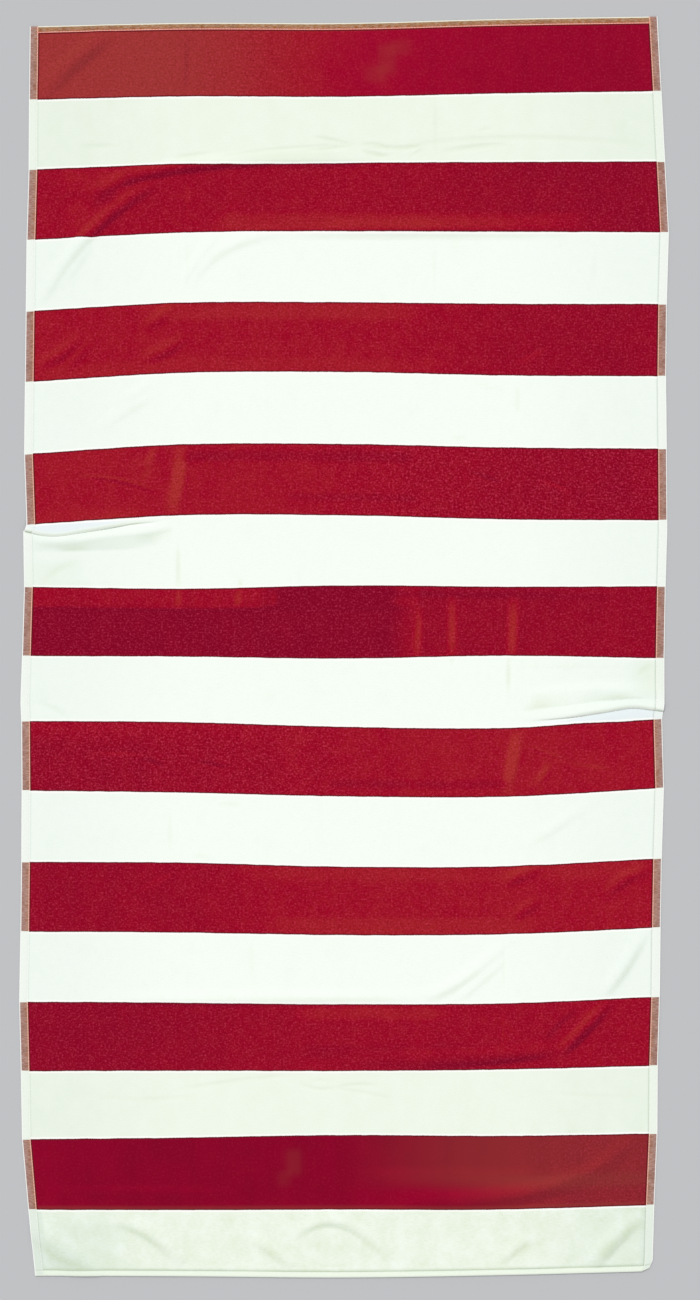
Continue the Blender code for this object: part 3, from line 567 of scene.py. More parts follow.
# ---------------------------------------------------------------- stitches
STITCH_PITCH = 0.0036
STITCH_LENGTH = 0.0028
STITCH_WIDTH = 0.0008
STITCH_HEIGHT = 0.0006
STITCH_SIDES = 6
STITCH_RINGS = (-0.86, -0.45, 0.45, 0.86)  # shares of the half length
SIDE_SEAM = 0.0099  # inwards from the edge
HEAD_SEAM = 0.0071
FOOT_SEAM = 0.0068
SEAM_END = 0.002  # from the towel's end to the side seams' first and last stitch
STITCH_TAPER = 0.6  # how a stitch thins towards its ends: 0 not before them, 1 like a ball
PROBE = 0.0004  # how far apart points lie that give the directions along the cloth

# ---------------------------------------------------------------- hems
# dull: how much the hem on white shares of the pile's darker and greyer places, its own tones and its
# painted shade alike
HemLook = namedtuple("HemLook", "side seam outer_red inner_red seam_red white turned dull")
LONG_LOOK = HemLook(
    "long", SIDE_SEAM, LONG_BAND_OUTER, LONG_BAND_INNER, SEAM_ON_RED, BAND_ON_WHITE, TURNED_EDGE, 0.6
)
HEAD_LOOK = HemLook(
    "head", HEAD_SEAM, HEAD_BAND_OUTER, HEAD_BAND_INNER, HEAD_SEAM_ON_RED, BAND_ON_WHITE, HEAD_EDGE, 0.6
)
FOOT_LOOK = HemLook(
    "foot", FOOT_SEAM, LONG_BAND_OUTER, LONG_BAND_INNER, SEAM_ON_RED, FOOT_BAND_ON_WHITE, FOOT_EDGE_SHADED, 0.2
)

# ---------------------------------------------------------------- camera and light
METRES_A_PIXEL = 0.001218
PHOTO_HEIGHT = 1300
AIM_X = 0.0072
AIM_Y = -0.0035
LENS = 100.0
SENSOR = 36.0
FLOOR_SIZE = 60.0
FLOOR_GAP = 0.0002  # below the cloth, so that their faces don't meet
KEY_FROM = (-0.16, 0.43, 0.89)
KEY_STRENGTH = 1.62
KEY_ANGLE = 24.0
SKY = (0.985, 0.990, 1.0)
SKY_STRENGTH = 0.69


# ---------------------------------------------------------------- the cloth's shape
def column(table, name):
    """One named column of a table."""
    return np.array([getattr(row, name) for row in table])


def through(at, stops, values):
    """Smooth curves through values at the stops: one curve for all, or one a row."""
    stops = np.asarray(stops, float)
    values = np.broadcast_to(values, (len(at), len(stops)))
    slopes = np.gradient(values, stops, axis=1)
    left = np.clip(np.searchsorted(stops, at, side="right") - 1, 0, len(stops) - 2)
    row = np.arange(len(at))
    gap = stops[left + 1] - stops[left]
    t = (at - stops[left]) / gap
    start = values[row, left] * (1 + 2 * t) * (1 - t) ** 2
    end = values[row, left + 1] * (3 - 2 * t) * t**2
    lean = slopes[row, left] * (1 - t) ** 2 * t - slopes[row, left + 1] * (1 - t) * t**2
    return start + end + lean * gap


def smoothstep(value):
    """0 below 0, 1 above 1, and a soft rise between."""
    t = np.clip(value, 0, 1)
    return t * t * (3 - 2 * t)


def laid(across, line):
    """Where a point of the cloth lies on the floor, before folds."""
    left, right, *dips = (
        np.interp(line, column(LINES, "line"), column(LINES, name)) for name in Line._fields[1:]
    )
    dip = through(across, ACROSS, np.array(dips).T)
    return left + across * (right - left), LENGTH / 2 - line * STRIPE - dip


def profile(x, y, curve, left_reach, right_reach):
    """A soft ridge of height 1 along a curve, for each point: 0 from its reach on."""
    t = np.linspace(0.0, 1.0, CURVE_STEPS)[:, None]
    start = np.array((curve.from_x, curve.from_y)) * (1 - t) ** 2
    bend = np.array((curve.bend_x, curve.bend_y)) * 2 * t * (1 - t)
    path = start + bend + np.array((curve.to_x, curve.to_y)) * t**2
    most = max(left_reach, right_reach)
    low, high = path.min(axis=0) - most, path.max(axis=0) + most
    close = np.flatnonzero((x > low[0]) & (x < high[0]) & (y > low[1]) & (y < high[1]))
    near_x, near_y = x[close], y[close]
    nearest = np.full(len(close), np.inf)
    along = np.zeros(len(close))
    reach = np.full(len(close), left_reach)
    for step, (a, b) in enumerate(zip(path, path[1:])):
        run = b - a
        over, up = near_x - a[0], near_y - a[1]
        t = np.clip((over * run[0] + up * run[1]) / (run @ run), 0, 1)
        gap = np.hypot(over - t * run[0], up - t * run[1])
        closer = gap < nearest
        nearest[closer] = gap[closer]
        along[closer] = (step + t[closer]) / (CURVE_STEPS - 1)
        on_left = run[0] * up - run[1] * over > 0
        reach[closer] = np.where(on_left, left_reach, right_reach)[closer]
    ridge = np.zeros(len(x))
    ridge[close] = np.sin(np.pi * along) ** FADE * (1 - np.minimum(nearest / reach, 1) ** 2) ** 2
    return ridge


def folds_lift(x, y):
    """All soft folds together: the higher wins where two cross."""
    ridges = (fold.height * profile(x, y, fold, fold.reach, fold.fall) for fold in FOLDS)
    return sum(ridge**BLEND for ridge in ridges) ** (1 / BLEND)


def pressed_sum(table, x, y, name):
    """A column of a table of creases or marks, summed by their profiles at each point."""
    return sum(getattr(row, name) * profile(x, y, row, row.reach, row.reach) for row in table)


def unevenness(x, y):
    """Gentle waves of the pile."""
    draw = np.random.default_rng(SEED)
    total = np.zeros(len(x))
    for _ in range(WAVES):
        turn, phase = draw.uniform(0, 2 * np.pi, 2)
        length = draw.uniform(WAVE_SHORT, WAVE_LONG)
        total += np.sin((x * np.cos(turn) + y * np.sin(turn)) * 2 * np.pi / length + phase)
    return total * WAVE_HEIGHT / np.sqrt(WAVES / 2)


def along_run(pleat, across, name):
    """A column of a pleat's run at each place across."""
    inwards = (across if pleat.side == "left" else 1 - across) * WIDTH
    inwards = np.minimum(inwards, pleat.run[-1].inwards)
    return through(inwards, column(pleat.run, "inwards"), column(pleat.run, name))


def fullness(pleat, across):
    """The share of its full size that a pleat has at each place across."""
    return smoothstep(along_run(pleat, across, "fullness"))


def past_crest(pleat, across, line):
    """Distance along the cloth from a pleat's crest, above 0 towards the foot."""
    return (line - pleat.line) * STRIPE - along_run(pleat, across, "past_line")


def lap(pleat, across, line):
    """A pleat's effect on each point: towards the foot, up, and on the share of its thickness."""
    full = fullness(pleat, across)
    along = np.clip(past_crest(pleat, across, line), SECTION[0].along, SECTION[-1].along)
    ahead, lift, share = (
        through(along, column(SECTION, "along"), column(SECTION, name))
        for name in ("ahead", "lift", "share")
    )
    return ahead * full, np.maximum(lift, 0) * full, 1 - full * (1 - share)


def hem_share(across, line):
    """The share of the full thickness that the hems leave."""
    side = np.minimum(across, 1 - across) * WIDTH
    hems = ((side, SIDE_HEM), (line * STRIPE, HEAD_HEM), ((STRIPES - line) * STRIPE, FOOT_HEM))
    return np.minimum.reduce([
        np.interp(distance, column(hem, "inwards"), column(hem, "share")) for distance, hem in hems
    ])


def round_corner(x, y, across, line):
    """Draws in the foot's right corner."""
    side = np.clip(1 - (1 - across) * WIDTH / ROUND_CORNER, 0, 1)
    end = np.clip(1 - (STRIPES - line) * STRIPE / ROUND_CORNER, 0, 1)
    pull = ROUND_CORNER * (1 - np.sqrt(0.5)) * side * end
    return x - pull, y + pull


def shape(across, line):
    """The cloth's underside at each point, and its thickness there."""
    x, y = laid(across, line)
    x, y = round_corner(x, y, across, line)
    lift = folds_lift(x, y)
    pile = unevenness(x, y) - pressed_sum(CREASES, x, y, "depth")
    share = hem_share(across, line)
    for pleat in PLEATS:
        footwards, up, thin = lap(pleat, across, line)
        y = y - footwards
        lift = np.maximum(lift, up)
        share = share * thin
    return np.stack([x - MIDDLE_X, y - MIDDLE_Y, lift], 1), share * (CLOTH + pile)


def spaced(spacings, first, last, size):
    """Places from first to last whose steps follow a table of spacings; 1 place is a size in metres."""
    at = np.linspace(first, last, SPACING_SAMPLES)
    density = size / np.interp(at, column(spacings, "at"), column(spacings, "step"))
    count = np.concatenate([[0], np.cumsum((density[1:] + density[:-1]) / 2 * np.diff(at))])
    steps = round(count[-1])
    return np.interp(np.linspace(0, count[-1], steps + 1), count, at)


def grid_columns():
    """Places across: the side hems' lines and graded steps between them."""
    hem = column(SIDE_HEM, "inwards") / WIDTH
    between = spaced(COLUMN_SPACING, hem[-1], 1 - hem[-1], WIDTH)
    return np.concatenate([hem[:-1], between, 1 - hem[-2::-1]])


def grid_rows(across):
    """The line of each row at each place across; rows near a pleat follow its crest."""
    head, foot = (column(hem, "inwards") / STRIPE for hem in (HEAD_HEM, FOOT_HEM))
    even = spaced(ROW_SPACING, head[-1], STRIPES - foot[-1], STRIPE)[1:-1]
    rows = []
    for pleat in PLEATS:
        crest = pleat.line + along_run(pleat, across, "past_line") / STRIPE
        follow = [crest + along / STRIPE for along in PLEAT_ROWS]
        before, after = follow[0].min() - ROWS_CLEAR, follow[-1].max() + ROWS_CLEAR
        even = even[(even < before) | (even > after)]
        rows += follow
    rows += [np.full_like(across, line) for line in (*head, *even, *(STRIPES - foot))]
    return np.array(sorted(rows, key=np.mean))


def patch_tone(patches, across, line):
    """How much lighter or darker than usual the pile looks at each point."""
    total = np.zeros(len(across))
    for patch in patches:
        from_line = np.abs(line - patch.line) - patch.half_line
        from_across = np.abs(across - patch.across) - patch.half_across
        total += (
            patch.tone
            * smoothstep(1 - from_line / patch.soft_line)
            * smoothstep(1 - from_across / patch.soft_across)
        )
    return total


def in_band(pleat, across, past, band):
    """How much a point lies in a band at some distance past a pleat's crest."""
    inside = smoothstep(past / band.rise) * smoothstep((band.end - past) / band.fall)
    return fullness(pleat, across) * inside


def pinched(across, line):
    """How much a point lies on the strip between a pleat's crest and the next stripe."""
    left, right = PLEATS
    return (
        in_band(left, across, -past_crest(left, across, line), STRIP)
        + in_band(right, across, past_crest(right, across, line), STRIP)
    )


def lap_front_light(across, line):
    """How much a point lies on the front of a lap, where white pile is painted lighter against the shade
    beneath the lap's overhang.
    """
    return sum(in_band(pleat, across, past_crest(pleat, across, line), FRONT) for pleat in PLEATS)


def tones(across, line, normals):
    """The looks of the pile at each point that its materials read, its own tones together with light and
    shade painted from slopes, creases, marks, pleats and the foot's groove.
    """
    x, y = laid(across, line)
    pressed = pressed_sum(CREASES, x, y, "tone") + pressed_sum(MARKS, x, y, "tone")
    # Painted light and shade: how far each point faces the key light across the floor.
    lean = PAINTED_SLOPE_LIGHT * (normals[:, 0] * PAINTED_LIGHT_FROM[0] + normals[:, 1] * PAINTED_LIGHT_FROM[1])
    shaded = PAINTED_SHADE_TONE * np.maximum(-lean - PAINTED_SHADE_FROM, 0)
    groove = np.maximum(1 - np.abs((STRIPES - line) * STRIPE - GROOVE) / GROOVE_REACH, 0)
    return {
        "red_tone_and_painted_light": patch_tone(RED_PATCHES, across, line) + pressed + lean,
        "brushed": patch_tone(BRUSHED_PATCHES, across, line),
        "smooth": patch_tone(SMOOTH_PATCHES, across, line),
        "lap_front_light": lap_front_light(across, line),
        "white_tone_and_painted_shade": (
            patch_tone(WHITE_PATCHES, across, line)
            - PRESSED_SHADE_AND_MARKS * np.abs(pressed)
            # Painted shade where white pile leans away from the key light, steeply or gently.
            + PAINTED_STEEP_SHADE * np.minimum(lean + PAINTED_STEEP_SHADE_FROM, 0)
            + pinched(across, line)
            - shaded
        ),
        # Painted shade on white pile: its sides and corners, lines, slopes that face away from the key
        # light, and the foot's groove.
        "painted_shade": (
            patch_tone(SHADE_PATCHES, across, line)
            + pressed_sum(SHADE_LINES, x, y, "tone")
            + shaded
            + GROOVE_SHADE * groove * (1 + GROOVE_UNEVEN * unevenness(x, y) / WAVE_HEIGHT)
        ),
    }


def unit_vectors(vectors):
    """The same vectors with length 1."""
    return vectors / np.linalg.norm(vectors, axis=1)[:, None]


def grid_normals(grid):
    """The direction out of the cloth at each point of a grid."""
    return unit_vectors(np.cross(np.gradient(grid, axis=0), np.gradient(grid, axis=1)).reshape(-1, 3))


def every(count, step):
    """Every so many places from 0 on, with the last."""
    return np.unique([*range(0, count, step), count - 1])


def rim_faces(upper, lower, picks):
    """Faces between a border of the upper face and that of the lower, which has only some points."""
    return [
        [lower[step], lower[step + 1], *upper[picks[step]:picks[step + 1] + 1][::-1]]
        for step in range(len(picks) - 1)
    ]


def sheet_faces(upper, lower, rows, columns):
    """Faces of a closed sheet from its grids of point numbers; the lower keeps some rows and columns."""
    above = np.stack([upper[1:, :-1], upper[1:, 1:], upper[:-1, 1:], upper[:-1, :-1]], -1)
    below = np.stack([lower[:-1, :-1], lower[:-1, 1:], lower[1:, 1:], lower[1:, :-1]], -1)
    return [
        *above.reshape(-1, 4).tolist(),
        *below.reshape(-1, 4).tolist(),
        *rim_faces(upper[-1], lower[-1], columns),
        *rim_faces(upper[::-1, -1], lower[::-1, -1], (len(upper) - 1 - rows)[::-1]),
        *rim_faces(upper[0, ::-1], lower[0, ::-1], (upper.shape[1] - 1 - columns)[::-1]),
        *rim_faces(upper[:, 0], lower[:, 0], rows),
    ]


def face_slot(across, line):
    """The material of a face by its middle: 0 pile, then 1 to 3 for the side, head and foot hems."""
    if min(across, 1 - across) * WIDTH < SIDE_BAND:
        return 1
    if line * STRIPE < HEAD_BAND:
        return 2
    if (STRIPES - line) * STRIPE < FOOT_BAND:
        return 3
    return 0


def add_mesh(name, points, faces):
    """A smooth mesh of one name and its object, linked to the scene."""
    mesh = bpy.data.meshes.new(name)
    mesh.from_pydata(points, [], faces)
    mesh.polygons.foreach_set("use_smooth", np.ones(len(faces), bool))
    made = bpy.data.objects.new(name, mesh)
    bpy.context.scene.collection.objects.link(made)
    return made


def set_attribute(mesh, name, values):
    """A number at each point of a mesh."""
    attribute = mesh.attributes.new(name, "FLOAT", "POINT")
    attribute.data.foreach_set("value", np.asarray(values, np.float32))


def build_cloth():
    """The cloth as a closed sheet: a fine grid above, a coarser one below and a rim between."""
    columns = grid_columns()
    rows = grid_rows(columns)
    across, line = np.tile(columns, len(rows)), rows.ravel()
    below, thickness = shape(across, line)
    above = below + grid_normals(below.reshape(*rows.shape, 3)) * thickness[:, None]

    keep_rows = every(len(rows), UNDERSIDE_ROWS)
    keep_columns = every(len(columns), UNDERSIDE_COLUMNS)
    upper = np.arange(rows.size).reshape(rows.shape)
    kept = upper[np.ix_(keep_rows, keep_columns)]
    lower = rows.size + np.arange(kept.size).reshape(kept.shape)
    faces = sheet_faces(upper, lower, keep_rows, keep_columns)
    cloth = add_mesh("terry_cloth", np.concatenate([above, below[kept.ravel()]]).tolist(), faces)

    mesh = cloth.data
    spread = np.concatenate([np.arange(rows.size), kept.ravel()])
    across, line = across[spread], line[spread]
    normals = grid_normals(above.reshape(*rows.shape, 3))[spread]
    for name, values in tones(across, line, normals).items():
        set_attribute(mesh, name, values)
    corner = np.empty(len(mesh.loops), np.int32)
    mesh.loops.foreach_get("vertex_index", corner)
    flat = np.stack([across * WIDTH, line * STRIPE], 1)
    uv = mesh.uv_layers.new(name="cloth")
    uv.data.foreach_set("uv", flat[corner].astype(np.float32).ravel())
    slots = [face_slot(across[face].mean(), line[face].mean()) for face in faces]
    mesh.polygons.foreach_set("material_index", np.array(slots, np.int32))
    return cloth


# ---------------------------------------------------------------- materials
class Tree:
    """A material's node tree, with short calls for the nodes used here."""

    def __init__(self, name):
        self.material = bpy.data.materials.new(name)
        self.material.use_nodes = True
        self.nodes = self.material.node_tree.nodes
        self.links = self.material.node_tree.links
        self.shader = self.nodes["Principled BSDF"]

    def feed(self, socket, value):
        """Links a socket to another, or sets its value."""
        if isinstance(value, bpy.types.NodeSocket):
            self.links.new(value, socket)
        elif isinstance(value, tuple) and len(value) == 3 and socket.type == "RGBA":
            socket.default_value = (*value, 1.0)
        else:
            socket.default_value = value

    def math(self, operation, *values, clamp=False):
        node = self.nodes.new("ShaderNodeMath")
        node.operation = operation
        node.use_clamp = clamp
        for socket, value in zip(node.inputs, values):
            self.feed(socket, value)
        return node.outputs[0]

    def times(self, value, factor):
        return self.math("MULTIPLY", value, factor)

    def total(self, first, *others):
        """The sum of all values."""
        for other in others:
            first = self.math("ADD", first, other)
        return first

    def part(self, value):
        """A value held between 0 and 1."""
        return self.math("MAXIMUM", value, 0.0, clamp=True)

    def spread(self, value, span):
        """A noise made to lie evenly about 0, with a span in all."""
        return self.math("MULTIPLY_ADD", value, span, -span / 2)

    def rise(self, value, begin, full):
        """0 up to one value, 1 past the other, and a soft rise between."""
        node = self.nodes.new("ShaderNodeMapRange")
        node.interpolation_type = "SMOOTHSTEP"
        for socket, given in zip(node.inputs, (value, begin, full, 0.0, 1.0)):
            self.feed(socket, given)
        return node.outputs[0]

    def within(self, value, border):
        """A border's share inside it and 0 outside, with soft ends."""
        up = self.rise(value, border.start - border.soft, border.start + border.soft)
        down = self.rise(value, border.end - border.soft, border.end + border.soft)
        return self.times(self.math("SUBTRACT", up, down, clamp=True), border.share)

    def wave(self, value, length):
        """A sine wave of one length."""
        return self.math("SINE", self.times(value, 2 * math.pi / length))

    def mix(self, share, first, second, blend="MIX"):
        """One colour with a share of another mixed in."""
        node = self.nodes.new("ShaderNodeMix")
        node.data_type = "RGBA"
        node.blend_type = blend
        self.feed(node.inputs["Factor"], share)
        self.feed(node.inputs[6], first)
        self.feed(node.inputs[7], second)
        return node.outputs[2]

    def tinted(self, share, color, tint):
        """A colour multiplied by a tint, as far as the share says."""
        return self.mix(self.part(share), color, tint, "MULTIPLY")

    def flecked(self, color, noise, flecks, shown=1.0):
        """A colour with flecks where a noise says so, as far as they are shown."""
        share = self.times(self.rise(noise, flecks.begin, flecks.full), flecks.share)
        return self.mix(self.times(share, shown), color, flecks.color)

    def toned(self, value, low, middle, high):
        """One colour at -1, another at 0 and a third at 1, even between."""
        color = self.mix(self.part(value), middle, high)
        return self.mix(self.part(self.times(value, -1.0)), color, low)

    def uv(self):
        """The cloth's own coordinates, in metres from its head's left corner."""
        node = self.nodes.new("ShaderNodeUVMap")
        node.uv_map = "cloth"
        split = self.nodes.new("ShaderNodeSeparateXYZ")
        self.links.new(node.outputs[0], split.inputs[0])
        return node.outputs[0], split.outputs[0], split.outputs[1]

    def scaled(self, vector, across, along):
        """The coordinates stretched by a factor across and one along the cloth."""
        node = self.nodes.new("ShaderNodeVectorMath")
        node.operation = "MULTIPLY"
        self.feed(node.inputs[0], vector)
        node.inputs[1].default_value = (across, along, 1.0)
        return node.outputs[0]

    def noise(self, place, look):
        """Noise from 0 to 1."""
        scale = look.scale
        if isinstance(scale, tuple):
            place, scale = self.scaled(place, *scale), 1.0
        node = self.nodes.new("ShaderNodeTexNoise")
        node.noise_dimensions = "4D"
        self.feed(node.inputs["Vector"], place)
        node.inputs["W"].default_value = look.number
        node.inputs["Scale"].default_value = scale
        node.inputs["Detail"].default_value = look.detail
        return node.outputs[0]

    def attribute(self, name):
        node = self.nodes.new("ShaderNodeAttribute")
        node.attribute_name = name
        return node.outputs["Fac"]

    def bump(self, height, distance, strength):
        node = self.nodes.new("ShaderNodeBump")
        node.inputs["Strength"].default_value = strength
        node.inputs["Distance"].default_value = distance
        self.feed(node.inputs["Height"], height)
        self.links.new(node.outputs[0], self.shader.inputs["Normal"])

    def finish(self, color, look):
        """The shader's colour and finish."""
        self.feed(self.shader.inputs["Base Color"], color)
        self.shader.inputs["Roughness"].default_value = look.roughness
        self.shader.inputs["Specular IOR Level"].default_value = look.specular
        self.shader.inputs["Sheen Weight"].default_value = look.sheen
        self.shader.inputs["Sheen Roughness"].default_value = SHEEN_ROUGHNESS


def to_stripe_edge(tree, along):
    """Signed distance in metres to the nearest line between stripes: above 0 inside a red one."""
    return tree.times(tree.wave(along, 2 * STRIPE), STRIPE / math.pi)


def to_side(tree, across):
    """Distance to the nearer side edge."""
    return tree.math("MINIMUM", across, tree.math("SUBTRACT", WIDTH, across))


def wander(tree, place):
    """Small wandering of the pile's edge between two colours."""
    fine = tree.spread(tree.noise(place, FINE_WANDER), FINE_WANDER_RANGE)
    return tree.total(fine, tree.spread(tree.noise(place, SLOW_WANDER), SLOW_WANDER_RANGE))


def red_pile(tree, place, edge, hem_edge_shade, mottle, grain):
    """Crimson pile: its tones with painted light and shade, pale and dark flecks and grain, and painted
    shade along its edge and beside the hems.
    """
    patchy = tree.noise(place, RED_PATCHY)
    tone = tree.total(
        tree.attribute("red_tone_and_painted_light"),
        tree.spread(tree.noise(place, RED_CLOUDS), RED_CLOUDS_RANGE),
        tree.spread(tree.noise(place, RIBS), RED_RIBS_RANGE),
    )
    brushed = tree.part(tree.attribute("brushed"))
    smooth = tree.attribute("smooth")
    red = tree.flecked(RED, patchy, BRICK_FLECKS)
    red = tree.flecked(red, tree.noise(place, DAPPLES), WARM_FLECKS)
    red = tree.mix(tree.part(smooth), red, RED_SMOOTH)
    # Painted light and shade: lit red on slopes that face the key light, deep red on those that face away,
    # as well as the pile's own tones.
    red = tree.toned(
        tone,
        tree.mix(brushed, RED_DEEP_AND_SHADED, RED_BRUSHED_DEEP_AND_SHADED),
        tree.mix(brushed, red, RED_BRUSHED),
        tree.mix(brushed, RED_LIT, RED_BRUSHED_LIT),
    )
    shown = tree.math("SUBTRACT", tree.math("MULTIPLY_ADD", brushed, -BRUSHED_HIDES, FLECKS_SHOWN), smooth)
    flecks = tree.total(mottle, tree.spread(patchy, FLECKS_RANGE))
    red = tree.flecked(red, flecks, PALE_FLECKS, shown)
    red = tree.flecked(red, flecks, DARK_FLECKS, shown)
    red = tree.flecked(red, grain, DARK_GRAIN, shown)
    red = tree.flecked(red, grain, PALE_GRAIN, shown)
    # Painted shade beside the hems and along the stripe's edge.
    red = tree.mix(tree.times(hem_edge_shade, HEM_BORDER_ON_RED), red, RED_EDGE_SHADE)
    return tree.mix(tree.within(edge, RED_EDGE_SHADE_BORDER), red, RED_EDGE_SHADE)


def white_pile(tree, place, edge, hem_edge_shade, mottle, grain):
    """White pile: its tones, dulled and greyed by painted shade where it leans away from the key light,
    along creases and lines and in the foot's groove, lighter by painted light on the fronts of laps, with
    dull flecks, and with a painted highlight along its edge.
    """
    cloudy = tree.noise(place, WHITE_CLOUDS)
    patchy = tree.noise(place, WHITE_PATCHY)
    rubbed = tree.total(
        tree.spread(cloudy, RUBBED_CLOUDS_RANGE),
        tree.spread(patchy, RUBBED_PATCHY_RANGE),
        tree.spread(grain, RUBBED_GRAIN_RANGE),
    )
    tone = tree.total(
        tree.attribute("white_tone_and_painted_shade"),
        tree.spread(cloudy, WHITE_CLOUDS_RANGE),
        tree.spread(tree.noise(place, RIBS), WHITE_RIBS_RANGE),
        tree.times(tree.attribute("brushed"), rubbed),
    )
    white = tree.toned(tone, WHITE_DULL_AND_SHADED, WHITE, WHITE_COOL)
    # Painted shade greys the white, with grey patches at random.
    uneven = tree.math("MULTIPLY_ADD", patchy, GREY_RANGE, GREY_LEVEL)
    white = tree.tinted(tree.total(tree.attribute("painted_shade"), uneven), white, WHITE_GREY_AND_SHADE)
    white = tree.flecked(white, mottle, DULL_FLECKS)
    white = tree.flecked(white, grain, DULL_GRAIN)
    # Painted shade beside the hems.
    white = tree.tinted(tree.times(hem_edge_shade, HEM_BORDER_ON_WHITE), white, WHITE_GREY_AND_SHADE)
    # Painted light on the front of a lap.
    white = tree.mix(tree.times(tree.attribute("lap_front_light"), LAP_FRONT_LIGHT_SHARE), white, WHITE_LAP_LIGHT)
    # A painted highlight along the edge beside the red.
    return tree.mix(tree.within(edge, WHITE_EDGE_HIGHLIGHT), white, WHITE_EDGE)


def pile_material():
    """Terry pile in crimson and white stripes."""
    tree = Tree("terry_pile")
    place, across, along = tree.uv()
    edge = to_stripe_edge(tree, tree.total(along, wander(tree, place)))
    from_side = tree.math("SUBTRACT", to_side(tree, across), SIDE_BAND)
    from_hem = tree.math("MINIMUM", from_side, tree.math("SUBTRACT", along, HEAD_BAND))
    hem_edge_shade = tree.within(from_hem, HEM_EDGE_SHADE_BORDER)
    mottle = tree.noise(place, MOTTLE)
    grain = tree.noise(place, GRAIN)
    red = red_pile(tree, place, edge, hem_edge_shade, mottle, grain)
    white = white_pile(tree, place, edge, hem_edge_shade, mottle, grain)
    tree.finish(tree.mix(tree.rise(edge, RED_BEGINS, RED_FULL), white, red), CLOTH_FINISH)
    tufts = tree.times(tree.noise(place, TUFTS), TUFTS_SHARE)
    tree.bump(tree.total(tufts, tree.times(grain, 1 - TUFTS_SHARE)), *PILE_BUMP)
    return tree.material


def hem_material(hem):
    """A flat-woven hem: two yarns crossing, and the turned edge and seam along it."""
    tree = Tree(hem.side + "_hem")
    place, across, along = tree.uv()
    if hem.side == "long":
        distance = to_side(tree, across)
    elif hem.side == "head":
        distance = along
    else:
        distance = tree.math("SUBTRACT", LENGTH, along)
    yarns = tree.times(tree.wave(across, WARP_PITCH), tree.wave(along, WEFT_PITCH))
    weave = tree.total(tree.times(yarns, 0.5), 0.5)
    red = tree.mix(tree.rise(distance, OUTER_REACH, hem.seam), hem.outer_red, hem.inner_red)
    red = tree.mix(tree.times(weave, WEAVE_ON_RED), red, YARN_DARK)
    red = tree.flecked(red, tree.noise(place, SLUBS), SLUB_FLECKS)
    red = tree.flecked(red, tree.noise(place, STAINS), STAIN_FLECKS)
    from_seam = tree.math("SUBTRACT", distance, hem.seam)
    red = tree.mix(tree.within(from_seam, SEAM_BORDER), red, hem.seam_red)
    tone = tree.times(tree.attribute("white_tone_and_painted_shade"), hem.dull)
    white = tree.toned(tone, WHITE_DULL_AND_SHADED, hem.white, WHITE_COOL)
    white = tree.tinted(tree.times(tree.attribute("painted_shade"), hem.dull), white, WHITE_GREY_AND_SHADE)
    white = tree.mix(tree.times(weave, WEAVE_ON_WHITE), white, WHITE_DULL_AND_SHADED)
    in_red = tree.rise(to_stripe_edge(tree, along), -HEM_RED_SOFT, HEM_RED_SOFT)
    rim = tree.times(tree.rise(distance, RIM_BEGINS, RIM_FULL), RIM_SHARE)
    tree.finish(tree.mix(rim, tree.mix(in_red, white, red), hem.turned), CLOTH_FINISH)
    tree.bump(weave, *HEM_BUMP)
    return tree.material


def thread_material():
    """Twisted sewing thread, stained where it crosses red cloth."""
    tree = Tree("sewing_thread")
    twist = tree.noise(tree.nodes.new("ShaderNodeTexCoord").outputs["Object"], TWIST)
    thread = tree.mix(tree.attribute("over_red"), THREAD, THREAD_ON_RED)
    tree.finish(tree.flecked(thread, twist, TWIST_FLECKS), THREAD_FINISH)
    tree.bump(twist, *THREAD_BUMP)
    return tree.material


def floor_material():
    """A plain pale floor."""
    tree = Tree("floor_paint")
    tree.finish(FLOOR_COLOR, FLOOR_FINISH)
    return tree.material


# ---------------------------------------------------------------- stitches
def seam_places():
    """Places across and along each seam, one a stitch, and whether the seam runs along the towel."""
    side_count = round((LENGTH - 2 * SEAM_END) / STITCH_PITCH)
    end_count = round((WIDTH - 2 * SIDE_SEAM) / STITCH_PITCH)
    down = np.linspace(SEAM_END, LENGTH - SEAM_END, side_count) / STRIPE
    over = np.linspace(SIDE_SEAM + STITCH_PITCH, WIDTH - SIDE_SEAM - STITCH_PITCH, end_count) / WIDTH
    return (
        (np.full(side_count, SIDE_SEAM / WIDTH), down, True),
        (np.full(side_count, 1 - SIDE_SEAM / WIDTH), down, True),
        (over, np.full(end_count, HEAD_SEAM / STRIPE), False),
        (over, np.full(end_count, STRIPES - FOOT_SEAM / STRIPE), False),
    )


def top(across, line):
    """Points on the cloth's upper face, with the directions across, along and out of it."""
    point, thick = shape(across, line)
    over = shape(across + PROBE / WIDTH, line)[0] - point
    down = shape(across, line + PROBE / STRIPE)[0] - point
    out = unit_vectors(np.cross(down, over))
    return point + out * thick[:, None], over, down, out


def stitch_points():
    """The points of one stitch that lies along its first coordinate: an end, the rings and an end."""
    turn = np.linspace(0, 2 * np.pi, STITCH_SIDES, endpoint=False)
    ring = np.stack([np.cos(turn), np.sin(turn)], 1)
    body = [(at, *(point * np.sqrt(1 - at**2) ** STITCH_TAPER)) for at in STITCH_RINGS for point in ring]
    form = np.array([(-1.0, 0.0, 0.0), *body, (1.0, 0.0, 0.0)])
    return form * np.array([STITCH_LENGTH, STITCH_WIDTH, STITCH_HEIGHT]) / 2


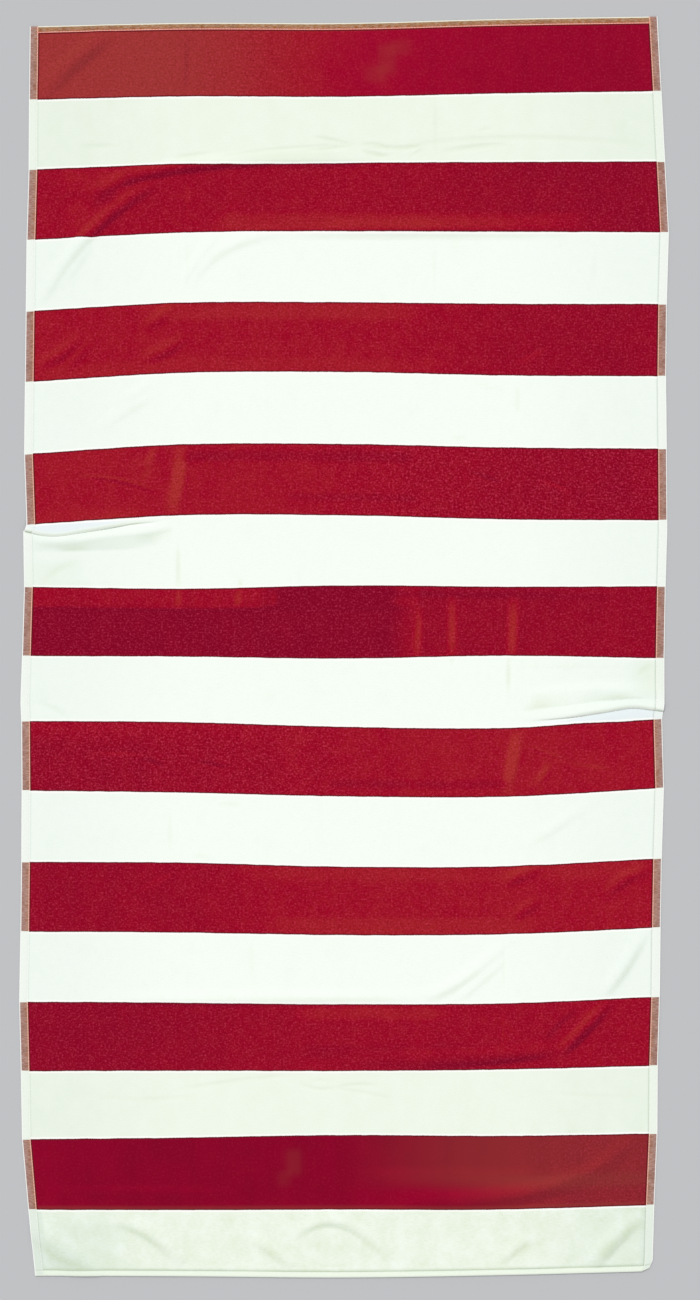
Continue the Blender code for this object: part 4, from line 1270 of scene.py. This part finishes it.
def stitch_faces():
    """The faces of one stitch, by the numbers of its points."""
    rings = len(STITCH_RINGS)
    faces = []
    for side in range(STITCH_SIDES):
        beside = (side + 1) % STITCH_SIDES
        faces.append((0, 1 + beside, 1 + side))
        for step in range(rings - 1):
            a, b = 1 + step * STITCH_SIDES, 1 + (step + 1) * STITCH_SIDES
            faces += [(a + side, a + beside, b + beside), (a + side, b + beside, b + side)]
        faces.append((b + side, b + beside, 1 + rings * STITCH_SIDES))
    return faces


def build_stitches():
    """Every stitch of the four hems, as one mesh."""
    form, form_faces = stitch_points(), stitch_faces()
    points, faces, over_red = [], [], []
    for across, line, along_towel in seam_places():
        place, over, down, out = top(across, line)
        forward = unit_vectors(down if along_towel else over)
        beside = np.cross(out, forward)
        for at, *directions in zip(place, forward, beside, out):
            faces += [tuple(number + len(points) for number in face) for face in form_faces]
            points += list(at + form @ np.array(directions))
        over_red += np.repeat(np.floor(line) % 2 == 0, len(form)).tolist()
    stitches = add_mesh("hem_stitches", [tuple(point) for point in points], faces)
    set_attribute(stitches.data, "over_red", over_red)
    return stitches


# ---------------------------------------------------------------- floor, light and camera
def build_stage():
    """The floor, the sky's even light, one soft key light and the camera straight above."""
    bpy.ops.mesh.primitive_plane_add(size=FLOOR_SIZE, location=(0, 0, -FLOOR_GAP))
    floor = bpy.context.object
    floor.name = "floor"
    floor.data.materials.append(floor_material())

    world = bpy.data.worlds.new("studio")
    bpy.context.scene.world = world
    world.use_nodes = True
    sky = world.node_tree.nodes["Background"]
    sky.inputs["Color"].default_value = (*SKY, 1.0)
    sky.inputs["Strength"].default_value = SKY_STRENGTH

    key = bpy.data.lights.new("key", "SUN")
    key.energy = KEY_STRENGTH
    key.angle = math.radians(KEY_ANGLE)
    lamp = bpy.data.objects.new("key", key)
    lamp.rotation_euler = Vector(KEY_FROM).to_track_quat("Z", "Y").to_euler()
    bpy.context.scene.collection.objects.link(lamp)

    lens = bpy.data.cameras.new("camera")
    lens.type = "PERSP"
    lens.lens = LENS
    lens.sensor_width = SENSOR
    lens.sensor_fit = "AUTO"
    camera = bpy.data.objects.new("camera", lens)
    height = PHOTO_HEIGHT * METRES_A_PIXEL * LENS / SENSOR
    camera.location = (AIM_X, AIM_Y, height)
    bpy.context.scene.collection.objects.link(camera)
    bpy.context.scene.camera = camera

    view = bpy.context.scene.view_settings
    view.view_transform = "Standard"
    view.look = "None"


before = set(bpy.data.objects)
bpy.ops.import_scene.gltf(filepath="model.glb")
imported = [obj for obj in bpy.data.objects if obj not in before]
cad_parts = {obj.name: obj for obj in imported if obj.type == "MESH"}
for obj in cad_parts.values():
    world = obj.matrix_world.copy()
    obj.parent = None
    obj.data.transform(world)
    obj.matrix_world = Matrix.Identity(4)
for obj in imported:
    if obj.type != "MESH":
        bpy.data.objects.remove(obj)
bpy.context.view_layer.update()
build_stage()
cloth = build_cloth()
for look in (pile_material(), *map(hem_material, (LONG_LOOK, HEAD_LOOK, FOOT_LOOK))):
    cloth.data.materials.append(look)
stitches = build_stitches()
stitches.data.materials.append(thread_material())
for piece in (cloth, stitches):
    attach(piece, "root")
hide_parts("towel")
bpy.context.view_layer.update()
